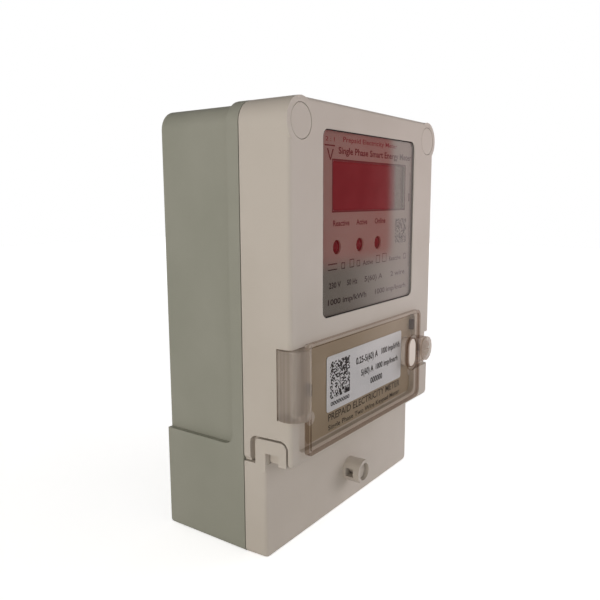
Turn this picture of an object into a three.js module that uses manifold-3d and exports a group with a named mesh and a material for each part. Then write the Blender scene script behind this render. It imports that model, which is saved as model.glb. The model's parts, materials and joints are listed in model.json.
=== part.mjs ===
// Prepaid single-phase electricity meter: base, front cover with window and hinged flap,
// terminal cover, terminal block and the electrics inside.
//
// Millimetres, +Z up, +X to the right of the meter's face, -Y out of the face.
// "Depth" is measured forward from the flat back of the base, so a depth grows towards the face.
// The origin is at the middle of the footprint, on the plane that the meter stands on.

import * as THREE from "three";
import { mergeVertices } from "three/addons/utils/BufferGeometryUtils.js";
import Module from "manifold-3d";

const wasm = await Module();
wasm.setup();

// ---------------------------------------------------------------- driving dimensions

const GAP = 0.3;
const ARC_STEPS = 4;
const ROUND_STEPS = 24;
const SMALL_STEPS = 12;
const PAST = 1;

const body = { width: 112, height: 160, depth: 58, seam: 38, draft: 1.5 };
const corner = { top: 8, bottom: 2.5, edge: 1.6 };

const base = {
  wall: 2.2,
  inset: 2,
  topInset: 1,
  topRadius: 7,
  rim: 5,
  stepHeight: 40,
  stepFillet: 4,
  shelfBottom: 37,
  shelfTop: 40.5,
};

const wireCutout = { halfWidth: 44, from: 7, to: 26 };
const rearPad = { x: 50, z: 9, radius: 4.2, height: 1.5, hole: 2.5 };

const cover = {
  bottom: 35.8,
  side: 3.5,
  face: 2.2,
  padDepth: body.depth - 4.6,
  padMargin: 1.2,
};

const gasket = { inset: 1.3, width: 1.4, height: 1.3, clearance: 0.15 };

const boss = { inset: 8, radius: 8, seat: 44, plugSeat: body.depth - 3.4 };
const basePost = { radius: 4.2, bore: 1.6, boreDepth: 16 };
const lowerBoss = { x: 49.6, z: 32.6, radius: 3.4, footHalf: 3.2, footLow: 29, footThickness: 2.6 };
const coverScrew = { headRadius: 2.9, headHeight: 2.5, shankRadius: 1.4, length: 14 };
const plug = { radius: 5.75, clearance: 0.15 };

const window_ = { halfWidth: 35.4, bottom: 85.3, top: 150.8, radius: 3 };
const lens = { flange: 1.9, thickness: 1.4, flangeThickness: 0.6, faceRecess: 0.2, lip: 0.8, clearance: 0.3 };
const dial = { thickness: 0.6, clearance: 0.2 };
const aperture = { left: -27.5, right: 28.3, bottom: 123.1, top: 140.4, radius: 0.8 };
const lamps = { x: [-24.7, -8.4, 5.7], z: 110, radius: 2.45, hole: 2.7, flange: 2.9, flangeHeight: 1 };
const filter = { thickness: 1, border: 2 };
const module_ = { border: 1, thickness: 7.9 };

const mainBoard = {
  halfWidth: 46,
  bottom: 84,
  top: 146,
  back: 12,
  thickness: 1.6,
  rows: [90, 138],
  postX: 42,
};

const recess = { left: -50.2, right: 39.9, bottom: 40.3, top: 76.6, floor: body.depth - 2, radius: 3 };
const recessMiddle = (recess.bottom + recess.top) / 2;
const channel = { bottom: recessMiddle - 7.75, top: recessMiddle + 7.75 };

const flap = {
  left: -47.1,
  right: 41,
  bottom: recess.bottom - 1.5,
  top: recess.top + 1.9,
  radius: 3.2,
  back: body.depth + GAP,
  thickness: 1.4,
  rim: 1.4,
  rimHeight: 0.6,
};
const hinge = {
  x: flap.left - 3,
  depth: body.depth - 1.9,
  radius: 5.9,
  bottom: recessMiddle - 5.45,
  top: flap.top - 1.1,
  pin: 1,
  bore: 1.3,
  anchor: 2.6,
};
const lug = {
  x: 47.3,
  z: recessMiddle + 0.85,
  radius: 5.5,
  height: 4.2,
  recess: 3.9,
  recessDepth: 2.2,
  bore: 1.95,
  tie: 0.7,
};
const sealScrew = { headRadius: 3.4, headHeight: 1.9, shankRadius: 1.4, grip: 2.4, slot: 1, slotDepth: 0.9 };

const button = {
  x: 33.8,
  z: recessMiddle + 1.45,
  width: 7.2,
  height: 12.4,
  face: body.depth + 1.9,
  clearance: 0.4,
  travel: 0.8,
};
const buttonFlange = { border: 1.6, thickness: 0.9, rod: 2, rodLength: 1 };
const displayBoard = {
  halfWidth: 42.6,
  bottom: button.z - 13.9,
  top: 142,
  back: body.depth - 13.6,
  thickness: 1.6,
};
const boardPost = {
  radius: 2.6,
  pin: 1.1,
  hole: 1.4,
  pinLength: 2.4,
  inset: 2.4,
  rows: [button.z - 9.9, 87, 138],
};
const keySwitch = { half: 2.8, height: 3.2, bore: 2.05, boreDepth: 1.7, plunger: 1.75, plungerLength: 2.1 };
const spring = { inner: 4.2, outer: 4.9 };
const rating = {
  halfWidth: 30,
  bottom: recess.bottom + 8.7,
  top: recess.top - 6.4,
  thickness: 0.2,
  lift: 0.12,
  radius: 1.2,
};
const collar = { width: 1.4, height: 0.8 };

const terminalCover = { face: 47.5, top: 35.5, wall: 2.2, edge: 1.5 };
const tab = {
  from: 43.1,
  to: body.depth - 2.2,
  top: 44.8,
  root: 33,
  foot: 36.1,
  stem: 47.3,
  leg: 52.7,
  slotTop: 39.9,
  radius: 2.4,
  thickness: 2.5,
  chamfer: 1.2,
  clearance: 0.8,
  backClearance: 2.2,
  pocketRadius: 2.6,
};
const sealPost = {
  x: 1,
  z: 14.8,
  radius: 5,
  face: 55,
  recess: 3.7,
  recessDepth: 3.8,
  bore: 2,
  tie: 3.6,
  tieDepth: 48.7,
};
const coverBolt = {
  headRadius: 3.4,
  headHeight: 1.8,
  headFloor: 0.8,
  flat: 1.2,
  shankRadius: 1.5,
  nutRadius: 3,
  nutThickness: 2,
  nutDepth: 35,
};
const fork = { halfWidth: 5.5, bottom: 9, top: 21, face: 40, plate: 2.6, slot: 2, pocket: 3.4, rise: 3.6 };

const block_ = { halfWidth: 45, bottom: 3.2, top: 36.6, back: 3, face: 33 };
const way = { pitch: 13.3, places: [-3, -2, -1, 1], halfWidth: 5.2, back: 10.6, top: 30 };
const clamp = {
  halfWidth: 4.9,
  back: 11,
  face: 22,
  bottom: 7,
  top: 29,
  bore: 3.3,
  boreBack: 13,
  roof: 2,
  tongueHalf: 4,
  tongueBack: 15.2,
  tongueThickness: 1.6,
  tongueTop: 47,
};
const clampScrew = {
  rows: [12, 22],
  hole: 2.1,
  shank: 1.85,
  head: 3.1,
  headHeight: 2.6,
  reach: 3.4,
  slot: 0.9,
};
const auxWay = { x: [27, 33.5, 40], halfWidth: 2.6, back: 14.6, top: 21 };
const auxClamp = {
  halfWidth: 2.3,
  back: 15,
  face: 22,
  bottom: 6,
  top: 20,
  bore: 1.3,
  boreBack: 16.4,
  roof: 2,
};
const auxScrew = { z: 13, hole: 1.2, shank: 1, head: 2, headHeight: 1.6, reach: 3, slot: 0.6 };

const relay = { left: -45, right: -19, bottom: 52, top: 82, back: 6, face: 26, wall: 1.4 };
const coil = { radius: 5.5, half: 10, z: 74.5, depth: 16, core: 2, coreHalf: 11.2 };
const rocker = { z: 66, depth: 12, thickness: 6, halfSpan: 7, arm: 1.6, hub: 2.6, finger: 1 };
const contactArm = { inset: 3.8, z: 60, depth: 13, thickness: 6, length: 17.5, blade: 0.8, hub: 2 };
const relayPin = { radius: 0.9, bore: 1.2 };
const shunt = { top: 58.3, bottom: 43, halfWidth: 3, thickness: 1.4 };
const neutralBar = { bottom: 43, top: 64, leg: 8, thickness: 1.5 };
const ring = { inner: 5, outer: 11, half: 4.5 };

const transformer = { left: -40, right: -8, bottom: 100, top: 134, height: 24, waist: 4 };
const capacitor = { x: 6, z: 96, radius: 6.3, height: 20 };
const battery = { left: 12, right: 38, z: 128, radius: 7 };
const radio = { left: 14, right: 37, bottom: 98, top: 116, height: 3 };
const antenna = { x: 42, bottom: 101, top: 124, radius: 2.2 };

const hook = {
  halfWidth: 6,
  bottom: 131,
  thickness: 1.8,
  back: 0.9,
  eye: 2.7,
  eyeInset: 5,
  lip: 1.8,
  topDrop: 0.5,
};
const hookGuide = { halfWidth: 9, bottom: 128, depth: 5.2, clearance: 0.25 };

// ---------------------------------------------------------------- derived sizes

const halfWidth = body.width / 2;
const coverBack = body.seam + GAP;
const coverInside = body.depth - cover.face;
const boardFront = displayBoard.back + displayBoard.thickness;
const mainFront = mainBoard.back + mainBoard.thickness;
const mountedOn = boardFront + GAP;
const bossPlaces = [-1, 1].map((side) => [side * (halfWidth - boss.inset), body.height - boss.inset]);
const lowerPlaces = [-1, 1].map((side) => [side * lowerBoss.x, lowerBoss.z]);
const mainWays = way.places.map((place) => sealPost.x + place * way.pitch);
const frontReach = hinge.depth + hinge.radius;
const backPlane = (frontReach + rearPad.height) / 2 - rearPad.height;
const tongueFront = clamp.tongueBack + clamp.tongueThickness;
const lensBack = body.depth - lens.faceRecess - lens.thickness;
const dialBack = lensBack - dial.clearance - dial.thickness;
const filterFront = dialBack - dial.clearance;
const hookTop = body.height - base.topInset - hook.topDrop;

// ---------------------------------------------------------------- solids

/** A closed three.js geometry as a solid that can be cut and joined. */
function solidOf(geometry) {
  const bare = geometry.clone();
  bare.deleteAttribute("normal");
  bare.deleteAttribute("uv");
  const merged = mergeVertices(bare, 1e-4);
  const vertProperties = Float32Array.from(merged.attributes.position.array);
  const triVerts = Uint32Array.from(merged.index.array);
  return new wasm.Manifold(new wasm.Mesh({ numProp: 3, vertProperties, triVerts }));
}

/** The solid's surface as a three.js geometry with flat faces. */
function geometryOf(solid) {
  const surface = solid.getMesh();
  const geometry = new THREE.BufferGeometry();
  geometry.setAttribute("position", new THREE.BufferAttribute(surface.vertProperties, 3));
  geometry.setIndex(new THREE.BufferAttribute(surface.triVerts, 1));
  const faceted = geometry.toNonIndexed();
  faceted.computeVertexNormals();
  return faceted;
}

const join = (first, ...others) => others.reduce((whole, piece) => whole.add(piece), first);
const cut = (first, ...tools) => tools.reduce((whole, tool) => whole.subtract(tool), first);

/** Draws the sides in towards the face, by the same share of the width for every piece. */
function drafted(geometry) {
  const places = geometry.attributes.position;
  for (let index = 0; index < places.count; index += 1) {
    const forward = Math.max(0, -places.getY(index) - body.seam) / (body.depth - body.seam);
    places.setX(index, places.getX(index) * (1 - (body.draft / halfWidth) * forward));
  }
  return geometry;
}

/** A rectangle with its own radius at each corner: bottom left, bottom right, top right, top left. */
function roundedRect(x0, z0, x1, z1, radii) {
  const [bl, br, tr, tl] = Array.isArray(radii) ? radii : [radii, radii, radii, radii];
  const shape = new THREE.Shape();
  shape.moveTo(x0 + bl, z0);
  shape.lineTo(x1 - br, z0);
  if (br > 0) shape.absarc(x1 - br, z0 + br, br, -Math.PI / 2, 0);
  shape.lineTo(x1, z1 - tr);
  if (tr > 0) shape.absarc(x1 - tr, z1 - tr, tr, 0, Math.PI / 2);
  shape.lineTo(x0 + tl, z1);
  if (tl > 0) shape.absarc(x0 + tl, z1 - tl, tl, Math.PI / 2, Math.PI);
  shape.lineTo(x0, z0 + bl);
  if (bl > 0) shape.absarc(x0 + bl, z0 + bl, bl, Math.PI, 1.5 * Math.PI);
  return shape;
}

/** A slot shape with round ends, upright. */
function pill(x, z, width, height) {
  return roundedRect(x - width / 2, z - height / 2, x + width / 2, z + height / 2, width / 2 - 0.01);
}

/** An outline seen from the front, as a geometry from one depth to another. */
function slabGeometry(shape, from, to) {
  const geometry = new THREE.ExtrudeGeometry(shape, {
    depth: to - from,
    bevelEnabled: false,
    curveSegments: ARC_STEPS,
  });
  return geometry.rotateX(Math.PI / 2).translate(0, -from, 0);
}

const slab = (shape, from, to) => solidOf(slabGeometry(shape, from, to));
const draftedSlab = (shape, from, to) => solidOf(drafted(slabGeometry(shape, from, to)));

/** A drafted slab whose front edge is rounded. */
function shell(shape, from, to, edge) {
  const geometry = new THREE.ExtrudeGeometry(shape, {
    depth: to - from,
    bevelThickness: edge,
    bevelSize: edge,
    bevelOffset: -edge,
    bevelSegments: 3,
    curveSegments: ARC_STEPS,
  });
  geometry.rotateX(Math.PI / 2).translate(0, edge - from, 0);
  const behind = block(-body.width, body.width, from - 2 * edge - PAST, from, -PAST, body.height + PAST);
  return cut(solidOf(drafted(geometry)), behind);
}

/** A side outline, given as depth and height, as a drafted bar from one x to another. */
function sideBar(shape, x0, x1) {
  const geometry = new THREE.ExtrudeGeometry(shape, {
    depth: x1 - x0,
    bevelEnabled: false,
    curveSegments: ARC_STEPS,
  });
  const turn = new THREE.Matrix4().set(0, 0, -1, x1, -1, 0, 0, 0, 0, 1, 0, 0, 0, 0, 0, 1);
  return solidOf(drafted(geometry.applyMatrix4(turn)));
}

/** A rectangular block between two x, two depths and two heights. */
function block(x0, x1, from, to, z0, z1) {
  const geometry = new THREE.BoxGeometry(x1 - x0, to - from, z1 - z0);
  return solidOf(geometry.translate((x0 + x1) / 2, -(from + to) / 2, (z0 + z1) / 2));
}

/** A round post that points out of the face. */
function post(x, z, radius, from, to, steps = SMALL_STEPS) {
  const geometry = new THREE.CylinderGeometry(radius, radius, to - from, steps);
  return solidOf(geometry.translate(x, -(from + to) / 2, z));
}

/** A round post that stands upright. */
function upright(x, depth, radius, z0, z1, steps = SMALL_STEPS) {
  const geometry = new THREE.CylinderGeometry(radius, radius, z1 - z0, steps);
  return solidOf(geometry.rotateX(Math.PI / 2).translate(x, -depth, (z0 + z1) / 2));
}

/** A round bar that runs across the meter. */
function crossBar(x0, x1, depth, z, radius, steps = SMALL_STEPS) {
  const geometry = new THREE.CylinderGeometry(radius, radius, x1 - x0, steps);
  return solidOf(geometry.rotateZ(Math.PI / 2).translate((x0 + x1) / 2, -depth, z));
}

const meter = new THREE.Group();

/** Adds one named piece to the meter, with a finish of its own. */
function piece(name, solid, color, roughness, metalness = 0, opacity = 1) {
  const material = new THREE.MeshStandardMaterial({ color, roughness, metalness });
  material.transparent = opacity < 1;
  material.opacity = opacity;
  const mesh = new THREE.Mesh(geometryOf(solid), material);
  mesh.name = name;
  meter.add(mesh);
  return mesh;
}

// ---------------------------------------------------------------- base housing

/** The outline that the base, the covers and the seam share, drawn in by one inset. */
function outline(inset, bottom) {
  const radius = corner.top - inset;
  const low = bottom > 0 ? corner.bottom - Math.min(inset, corner.bottom - 0.4) : corner.bottom;
  return roundedRect(
    inset - halfWidth,
    bottom,
    halfWidth - inset,
    body.height - inset,
    [low, low, radius, radius],
  );
}

/** The full-width foot of the base and the rim along its seam, from the side. */
function footAndRim() {
  const rimBack = body.seam - base.rim;
  const shape = new THREE.Shape();
  shape.moveTo(0, 0);
  shape.lineTo(body.seam, 0);
  shape.lineTo(body.seam, body.height);
  shape.lineTo(rimBack, body.height);
  shape.lineTo(rimBack, base.stepHeight + base.stepFillet);
  shape.absarc(
    rimBack - base.stepFillet,
    base.stepHeight + base.stepFillet,
    base.stepFillet,
    0,
    -Math.PI / 2,
    true,
  );
  shape.lineTo(0, base.stepHeight);
  const bar = sideBar(shape, -halfWidth, halfWidth);
  return bar.intersect(slab(outline(0, 0), 0, body.seam));
}

/** A hollow post in the base that takes a cover screw. */
function screwPost(x, z, radius) {
  return post(x, z, radius, base.wall - GAP, body.seam - GAP);
}

function gasketRing(clearance, from, to) {
  const outer = outline(gasket.inset - clearance, base.shelfBottom + gasket.inset / 2 - clearance);
  const innerBottom = base.shelfBottom + gasket.inset / 2 + gasket.width + clearance;
  const inner = outline(gasket.inset + gasket.width + clearance, innerBottom);
  return cut(slab(outer, from, to), slab(inner, from - PAST, to + PAST));
}

function hookGuideBlock() {
  const top = body.height - base.topInset - base.wall + GAP;
  return block(
    -hookGuide.halfWidth,
    hookGuide.halfWidth,
    base.wall - GAP,
    hookGuide.depth,
    hookGuide.bottom,
    top,
  );
}

function hookSlot() {
  const half = hook.halfWidth + hookGuide.clearance;
  const from = hook.back - hookGuide.clearance;
  const to = hook.back + hook.thickness + hookGuide.clearance;
  const low = hook.bottom - hookGuide.clearance;
  const runway = block(-half, half, from, to, low, body.height + PAST);
  const lipEdge = half - hook.lip;
  return join(runway, block(-lipEdge, lipEdge, -PAST, to, low + hook.lip, body.height + PAST));
}

function baseHousing() {
  const upperHalf = halfWidth - base.inset;
  const upperTop = body.height - base.topInset;
  const rimBack = body.seam - base.rim;
  const low = base.stepHeight - PAST;
  const tubRadii = [0, 0, base.topRadius, base.topRadius];
  const tub = slab(roundedRect(-upperHalf, low, upperHalf, upperTop, tubRadii), 0, rimBack + PAST);
  const insideRadius = base.topRadius - base.wall;
  const insideHalf = upperHalf - base.wall;
  const inside = roundedRect(
    -insideHalf,
    base.shelfTop,
    insideHalf,
    upperTop - base.wall,
    [0, 0, insideRadius, insideRadius],
  );
  const lowerHalf = halfWidth - base.wall;
  const lowerRoom = roundedRect(-lowerHalf, base.wall, lowerHalf, base.shelfBottom, 0.5);
  let housing = join(footAndRim(), tub);
  housing = cut(
    housing,
    slab(inside, base.wall, body.seam + PAST),
    slab(lowerRoom, base.wall, body.seam + PAST),
  );
  housing = join(housing, hookGuideBlock());
  housing = cut(housing, hookSlot());
  for (const [x, z] of bossPlaces) {
    housing = join(housing, screwPost(x, z, basePost.radius));
    housing = cut(housing, post(x, z, basePost.bore, body.seam - basePost.boreDepth, body.seam + PAST));
  }
  for (const [x, z] of lowerPlaces) {
    housing = join(housing, screwPost(x, z, lowerBoss.radius));
    housing = cut(housing, post(x, z, basePost.bore, body.seam - basePost.boreDepth, body.seam + PAST));
  }
  for (const side of [-1, 1]) {
    const pad = post(side * rearPad.x, rearPad.z, rearPad.radius, -rearPad.height, PAST);
    const hole = post(side * rearPad.x, rearPad.z, rearPad.hole, -rearPad.height - PAST, base.wall + PAST);
    housing = cut(join(housing, pad), hole);
    for (const z of mainBoard.rows) {
      const foot = post(side * mainBoard.postX, z, boardPost.radius, base.wall - GAP, mainBoard.back);
      const pin = post(side * mainBoard.postX, z, boardPost.pin, mainBoard.back - PAST, mainFront + PAST);
      housing = join(housing, foot, pin);
    }
  }
  const wires = block(
    -wireCutout.halfWidth,
    wireCutout.halfWidth,
    wireCutout.from,
    wireCutout.to,
    -PAST,
    base.wall + PAST,
  );
  housing = cut(
    housing,
    wires,
    gasketRing(gasket.clearance, body.seam - gasket.height - gasket.clearance, body.seam + PAST),
  );
  for (const x of mainWays) {
    housing = cut(housing, tonguePassage(x, base.shelfBottom - PAST, base.shelfTop + PAST));
  }
  return housing;
}

/** The gap that a clamp's tongue passes through on its way up. */
function tonguePassage(x, z0, z1) {
  const half = clamp.tongueHalf + GAP;
  return block(x - half, x + half, clamp.tongueBack - GAP, tongueFront + GAP, z0, z1);
}

function hangingHook() {
  const radius = hook.halfWidth - GAP;
  const plate = roundedRect(-hook.halfWidth, hook.bottom, hook.halfWidth, hookTop, [1, 1, radius, radius]);
  const eye = post(0, hookTop - hook.eyeInset, hook.eye, hook.back - PAST, hook.back + hook.thickness + PAST);
  return cut(slab(plate, hook.back, hook.back + hook.thickness), eye);
}

// ---------------------------------------------------------------- front cover

/** The hooked tab at each side of the terminal cover, from the side, grown by a clearance. */
function tabShape(grow) {
  const [from, to, top] = [tab.from - grow, tab.to + grow, tab.top + grow];
  const radius = tab.radius + grow;
  const shape = new THREE.Shape();
  shape.moveTo(from, tab.root);
  shape.lineTo(tab.stem, tab.root);
  shape.lineTo(tab.stem, tab.slotTop);
  shape.lineTo(tab.leg, tab.slotTop);
  shape.lineTo(tab.leg, tab.foot - grow);
  shape.lineTo(to, tab.foot - grow);
  shape.lineTo(to, top - radius);
  shape.absarc(to - radius, top - radius, radius, 0, Math.PI / 2);
  shape.lineTo(from + tab.chamfer, top);
  shape.lineTo(from + tab.chamfer * 0.3, top - tab.chamfer * 0.3);
  shape.lineTo(from, top - tab.chamfer);
  return shape;
}

/** The pocket in the front cover's side that a tab hooks into, open below. */
function tabPocket(x0, x1) {
  const [from, to, top] = [tab.from - tab.backClearance, tab.to + tab.clearance, tab.top + tab.clearance];
  const low = cover.bottom - PAST;
  const radius = tab.radius + tab.clearance;
  return sideBar(roundedRect(from, low, to, top, [0, 0, radius, tab.pocketRadius]), x0, x1);
}

function tabPockets(housing) {
  let result = housing;
  const floor = halfWidth - tab.thickness - GAP;
  const wallTop = tab.top + tab.clearance + cover.face;
  for (const side of [-1, 1]) {
    const [inner, outer] = [side * (floor - cover.face), side * (halfWidth - PAST)];
    const backing = roundedRect(coverBack, cover.bottom, coverInside + GAP, wallTop, 0);
    result = join(result, sideBar(backing, Math.min(inner, outer), Math.max(inner, outer)));
    const [near, far] = [side * floor, side * (halfWidth + PAST)];
    result = cut(result, tabPocket(Math.min(near, far), Math.max(near, far)));
  }
  return result;
}

function windowCuts() {
  const hole = roundedRect(
    -window_.halfWidth,
    window_.bottom,
    window_.halfWidth,
    window_.top,
    window_.radius,
  );
  const half = window_.halfWidth + lens.flange;
  const low = window_.bottom - lens.flange;
  const high = window_.top + lens.flange;
  const rebate = roundedRect(-half, low, half, high, window_.radius + lens.flange);
  return [
    slab(hole, coverInside - PAST, body.depth + PAST),
    slab(rebate, coverInside - PAST, body.depth - lens.lip),
  ];
}

/** The thick wall behind the flap, the wall around the hinge and the hollows cut in them. */
function flapSeat(housing) {
  const [left, right] = [recess.left - cover.padMargin, recess.right + cover.padMargin];
  const [padLow, padHigh] = [recess.bottom - cover.padMargin, recess.top + cover.padMargin];
  const pad = block(left, right, cover.padDepth, recess.floor + GAP, padLow, padHigh);
  const laneLow = channel.bottom - cover.padMargin;
  const lanePad = block(
    right - GAP,
    lug.x + lug.radius,
    cover.padDepth,
    recess.floor + GAP,
    laneLow,
    channel.top + cover.padMargin,
  );
  const [low, high] = [hinge.bottom - hinge.anchor - PAST, hinge.top + hinge.anchor + PAST];
  const hingeLeft = (halfWidth - body.draft) * -1 + GAP;
  const hingeBack = hinge.depth - hinge.radius - cover.face;
  const hingeWall = block(
    hingeLeft,
    hinge.x + hinge.radius + cover.face,
    hingeBack,
    hinge.depth - GAP,
    low,
    high,
  );
  const hollow = roundedRect(recess.left, recess.bottom, recess.right, recess.top, recess.radius);
  const reach = recess.right - recess.radius;
  const lane = block(reach, halfWidth + PAST, recess.floor, body.depth + PAST, channel.bottom, channel.top);
  const knuckleRoom = upright(
    hinge.x,
    hinge.depth,
    hinge.radius + GAP,
    hinge.bottom - GAP,
    hinge.top + GAP,
    ROUND_STEPS,
  );
  const pinRoom = upright(
    hinge.x,
    hinge.depth,
    hinge.pin + GAP / 2,
    hinge.bottom - hinge.anchor,
    hinge.top + hinge.anchor,
  );
  const keyhole = pill(
    button.x,
    button.z,
    button.width + 2 * button.clearance,
    button.height + 2 * button.clearance,
  );
  const thread = post(lug.x, lug.z, sealScrew.shankRadius + 2 * GAP, cover.padDepth - PAST, body.depth);
  return cut(
    join(housing, pad, lanePad, hingeWall),
    slab(hollow, recess.floor, body.depth + PAST),
    lane,
    knuckleRoom,
    pinRoom,
    slab(keyhole, cover.padDepth - PAST, body.depth),
    thread,
  );
}

function coverColumns(housing) {
  let result = housing;
  for (const [x, z] of bossPlaces) {
    result = join(result, post(x, z, boss.radius, coverBack, body.depth, ROUND_STEPS));
    result = cut(
      result,
      post(x, z, plug.radius + plug.clearance, boss.plugSeat, body.depth + PAST, ROUND_STEPS),
      post(x, z, coverScrew.headRadius + 2 * GAP, boss.seat, boss.plugSeat + PAST),
      post(x, z, coverScrew.shankRadius + GAP, coverBack - PAST, boss.seat + PAST),
    );
  }
  for (const [x, z] of lowerPlaces) {
    const [left, right] = [x - lowerBoss.footHalf, x + lowerBoss.footHalf];
    const front = coverBack + lowerBoss.footThickness;
    const foot = block(left, right, coverBack, front, lowerBoss.footLow, cover.bottom + PAST);
    result = cut(
      join(result, foot),
      post(x, z, coverScrew.shankRadius + GAP, coverBack - PAST, front + PAST),
    );
  }
  return result;
}

function coverBoardPosts(housing) {
  let result = housing;
  const x = displayBoard.halfWidth - boardPost.inset;
  for (const side of [-1, 1]) {
    for (const z of boardPost.rows) {
      const stem = post(side * x, z, boardPost.radius, mountedOn, coverInside + GAP);
      const pin = post(side * x, z, boardPost.pin, boardFront - boardPost.pinLength, mountedOn + PAST);
      result = join(result, stem, pin);
    }
  }
  return result;
}

function frontCover() {
  const low = [corner.bottom, corner.bottom, corner.top, corner.top];
  const outer = roundedRect(-halfWidth, cover.bottom, halfWidth, body.height, low);
  const insideHalf = halfWidth - cover.side;
  const insideLow = cover.bottom + cover.side;
  const room = roundedRect(
    -insideHalf,
    insideLow,
    insideHalf,
    body.height - cover.side,
    corner.top - cover.side,
  );
  let housing = shell(outer, coverBack, body.depth, corner.edge);
  housing = cut(housing, draftedSlab(room, coverBack - PAST, coverInside));
  housing = coverColumns(housing);
  housing = tabPockets(housing);
  housing = flapSeat(housing);
  housing = coverBoardPosts(housing);
  return cut(housing, ...windowCuts());
}

// ---------------------------------------------------------------- window, dial and display

function windowLens() {
  const inset = lens.clearance;
  const half = window_.halfWidth - inset;
  const pane = roundedRect(-half, window_.bottom + inset, half, window_.top - inset, window_.radius - inset);
  const wide = half + lens.flange;
  const low = window_.bottom + inset - lens.flange;
  const high = window_.top - inset + lens.flange;
  const flange = roundedRect(-wide, low, wide, high, window_.radius + lens.flange - inset);
  return join(
    slab(pane, lensBack, body.depth - lens.faceRecess),
    slab(flange, lensBack, lensBack + lens.flangeThickness),
  );
}

function dialPlate() {
  const grow = lens.flange - 2 * lens.clearance;
  const half = window_.halfWidth + grow;
  const plate = roundedRect(-half, window_.bottom - grow, half, window_.top + grow, window_.radius);
  const view = roundedRect(aperture.left, aperture.bottom, aperture.right, aperture.top, aperture.radius);
  const [from, to] = [dialBack - PAST, dialBack + dial.thickness + PAST];
  const holes = lamps.x.map((x) => post(x, lamps.z, lamps.hole, from, to));
  return cut(slab(plate, dialBack, dialBack + dial.thickness), slab(view, from, to), ...holes);
}

/** A block behind the display opening that is wider than it by one border. */
function behindAperture(border, from, to) {
  const [left, right] = [aperture.left - border, aperture.right + border];
  return block(left, right, from, to, aperture.bottom - border, aperture.top + border);
}

function indicatorLamp(x) {
  const tip = lensBack - dial.clearance;
  const points = [
    new THREE.Vector2(0, 0),
    new THREE.Vector2(lamps.flange, 0),
    new THREE.Vector2(lamps.flange, lamps.flangeHeight),
    new THREE.Vector2(lamps.radius, lamps.flangeHeight),
  ];
  const shoulder = tip - mountedOn - lamps.radius;
  for (let step = 0; step < ARC_STEPS; step += 1) {
    const angle = (step / ARC_STEPS) * (Math.PI / 2);
    points.push(new THREE.Vector2(lamps.radius * Math.cos(angle), shoulder + lamps.radius * Math.sin(angle)));
  }
  points.push(new THREE.Vector2(0, tip - mountedOn));
  const geometry = new THREE.LatheGeometry(points, SMALL_STEPS);
  return solidOf(geometry.rotateX(Math.PI).translate(x, -mountedOn, lamps.z));
}

function displayBoardPlate() {
  const plate = roundedRect(
    -displayBoard.halfWidth,
    displayBoard.bottom,
    displayBoard.halfWidth,
    displayBoard.top,
    1.5,
  );
  const x = displayBoard.halfWidth - boardPost.inset;
  const holes = [-1, 1].flatMap((side) =>
    boardPost.rows.map((z) => post(side * x, z, boardPost.hole, displayBoard.back - PAST, boardFront + PAST)),
  );
  return cut(slab(plate, displayBoard.back, boardFront), ...holes);
}

// ---------------------------------------------------------------- flap, its lock and the button

/** A round head with a screwdriver slot, a shank behind it and its axis out of the face. */
function slottedScrew(x, z, head, from, shank, slot) {
  const front = from + head.height;
  const body_ = join(
    post(x, z, head.radius, from, front, SMALL_STEPS),
    post(x, z, shank.radius, from - shank.length, from + PAST),
  );
  const groove = block(
    x - head.radius,
    x + head.radius,
    front - slot.depth,
    front + PAST,
    z - slot.width / 2,
    z + slot.width / 2,
  );
  return cut(body_, groove);
}

function flapLeaf() {
  const radii = [flap.rim, flap.radius, flap.radius, flap.rim];
  const outer = roundedRect(flap.left, flap.bottom, flap.right, flap.top, radii);
  const innerRadii = [flap.rim / 2, flap.radius - flap.rim, flap.radius - flap.rim, flap.rim / 2];
  const [left, right] = [flap.left + flap.rim, flap.right - flap.rim];
  const inner = roundedRect(left, flap.bottom + flap.rim, right, flap.top - flap.rim, innerRadii);
  const face = flap.back + flap.thickness;
  const rimFace = face + flap.rimHeight;
  return cut(slab(outer, flap.back, rimFace), slab(inner, face, rimFace + PAST));
}

function flapPiece() {
  const face = flap.back + flap.thickness + flap.rimHeight;
  const knuckle = upright(hinge.x, hinge.depth, hinge.radius, hinge.bottom, hinge.top, ROUND_STEPS);
  const lugBack = recess.floor + 2 * GAP;
  const lugFront = lugBack + lug.height;
  const ear = block(flap.right - PAST, lug.x, flap.back, face - GAP, lug.z - lug.radius, lug.z + lug.radius);
  const barrel = post(lug.x, lug.z, lug.radius, lugBack, lugFront, ROUND_STEPS);
  const holeWidth = button.width + 2 * button.clearance;
  const holeHeight = button.height + 2 * button.clearance;
  const ringShape = pill(button.x, button.z, holeWidth + 2 * collar.width, holeHeight + 2 * collar.width);
  const raised = slab(ringShape, flap.back, flap.back + flap.thickness + collar.height);
  return cut(
    join(flapLeaf(), knuckle, ear, barrel, raised),
    upright(hinge.x, hinge.depth, hinge.bore, hinge.bottom - PAST, hinge.top + PAST),
    post(lug.x, lug.z, lug.recess, lugFront - lug.recessDepth, lugFront + PAST),
    post(lug.x, lug.z, lug.bore, lugBack - PAST, lugFront),
    upright(
      lug.x,
      lugFront - lug.tie - GAP,
      lug.tie,
      lug.z - lug.radius - PAST,
      lug.z + lug.radius + PAST,
      10,
    ),
    slab(pill(button.x, button.z, holeWidth, holeHeight), flap.back - PAST, face + PAST),
  );
}

function flapSealScrew() {
  const seat = recess.floor + 2 * GAP + lug.height - lug.recessDepth + GAP / 2;
  const head = { radius: sealScrew.headRadius, height: sealScrew.headHeight };
  const shank = { radius: sealScrew.shankRadius, length: seat - recess.floor + sealScrew.grip };
  return slottedScrew(lug.x, lug.z, head, seat, shank, { width: sealScrew.slot, depth: sealScrew.slotDepth });
}

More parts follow.
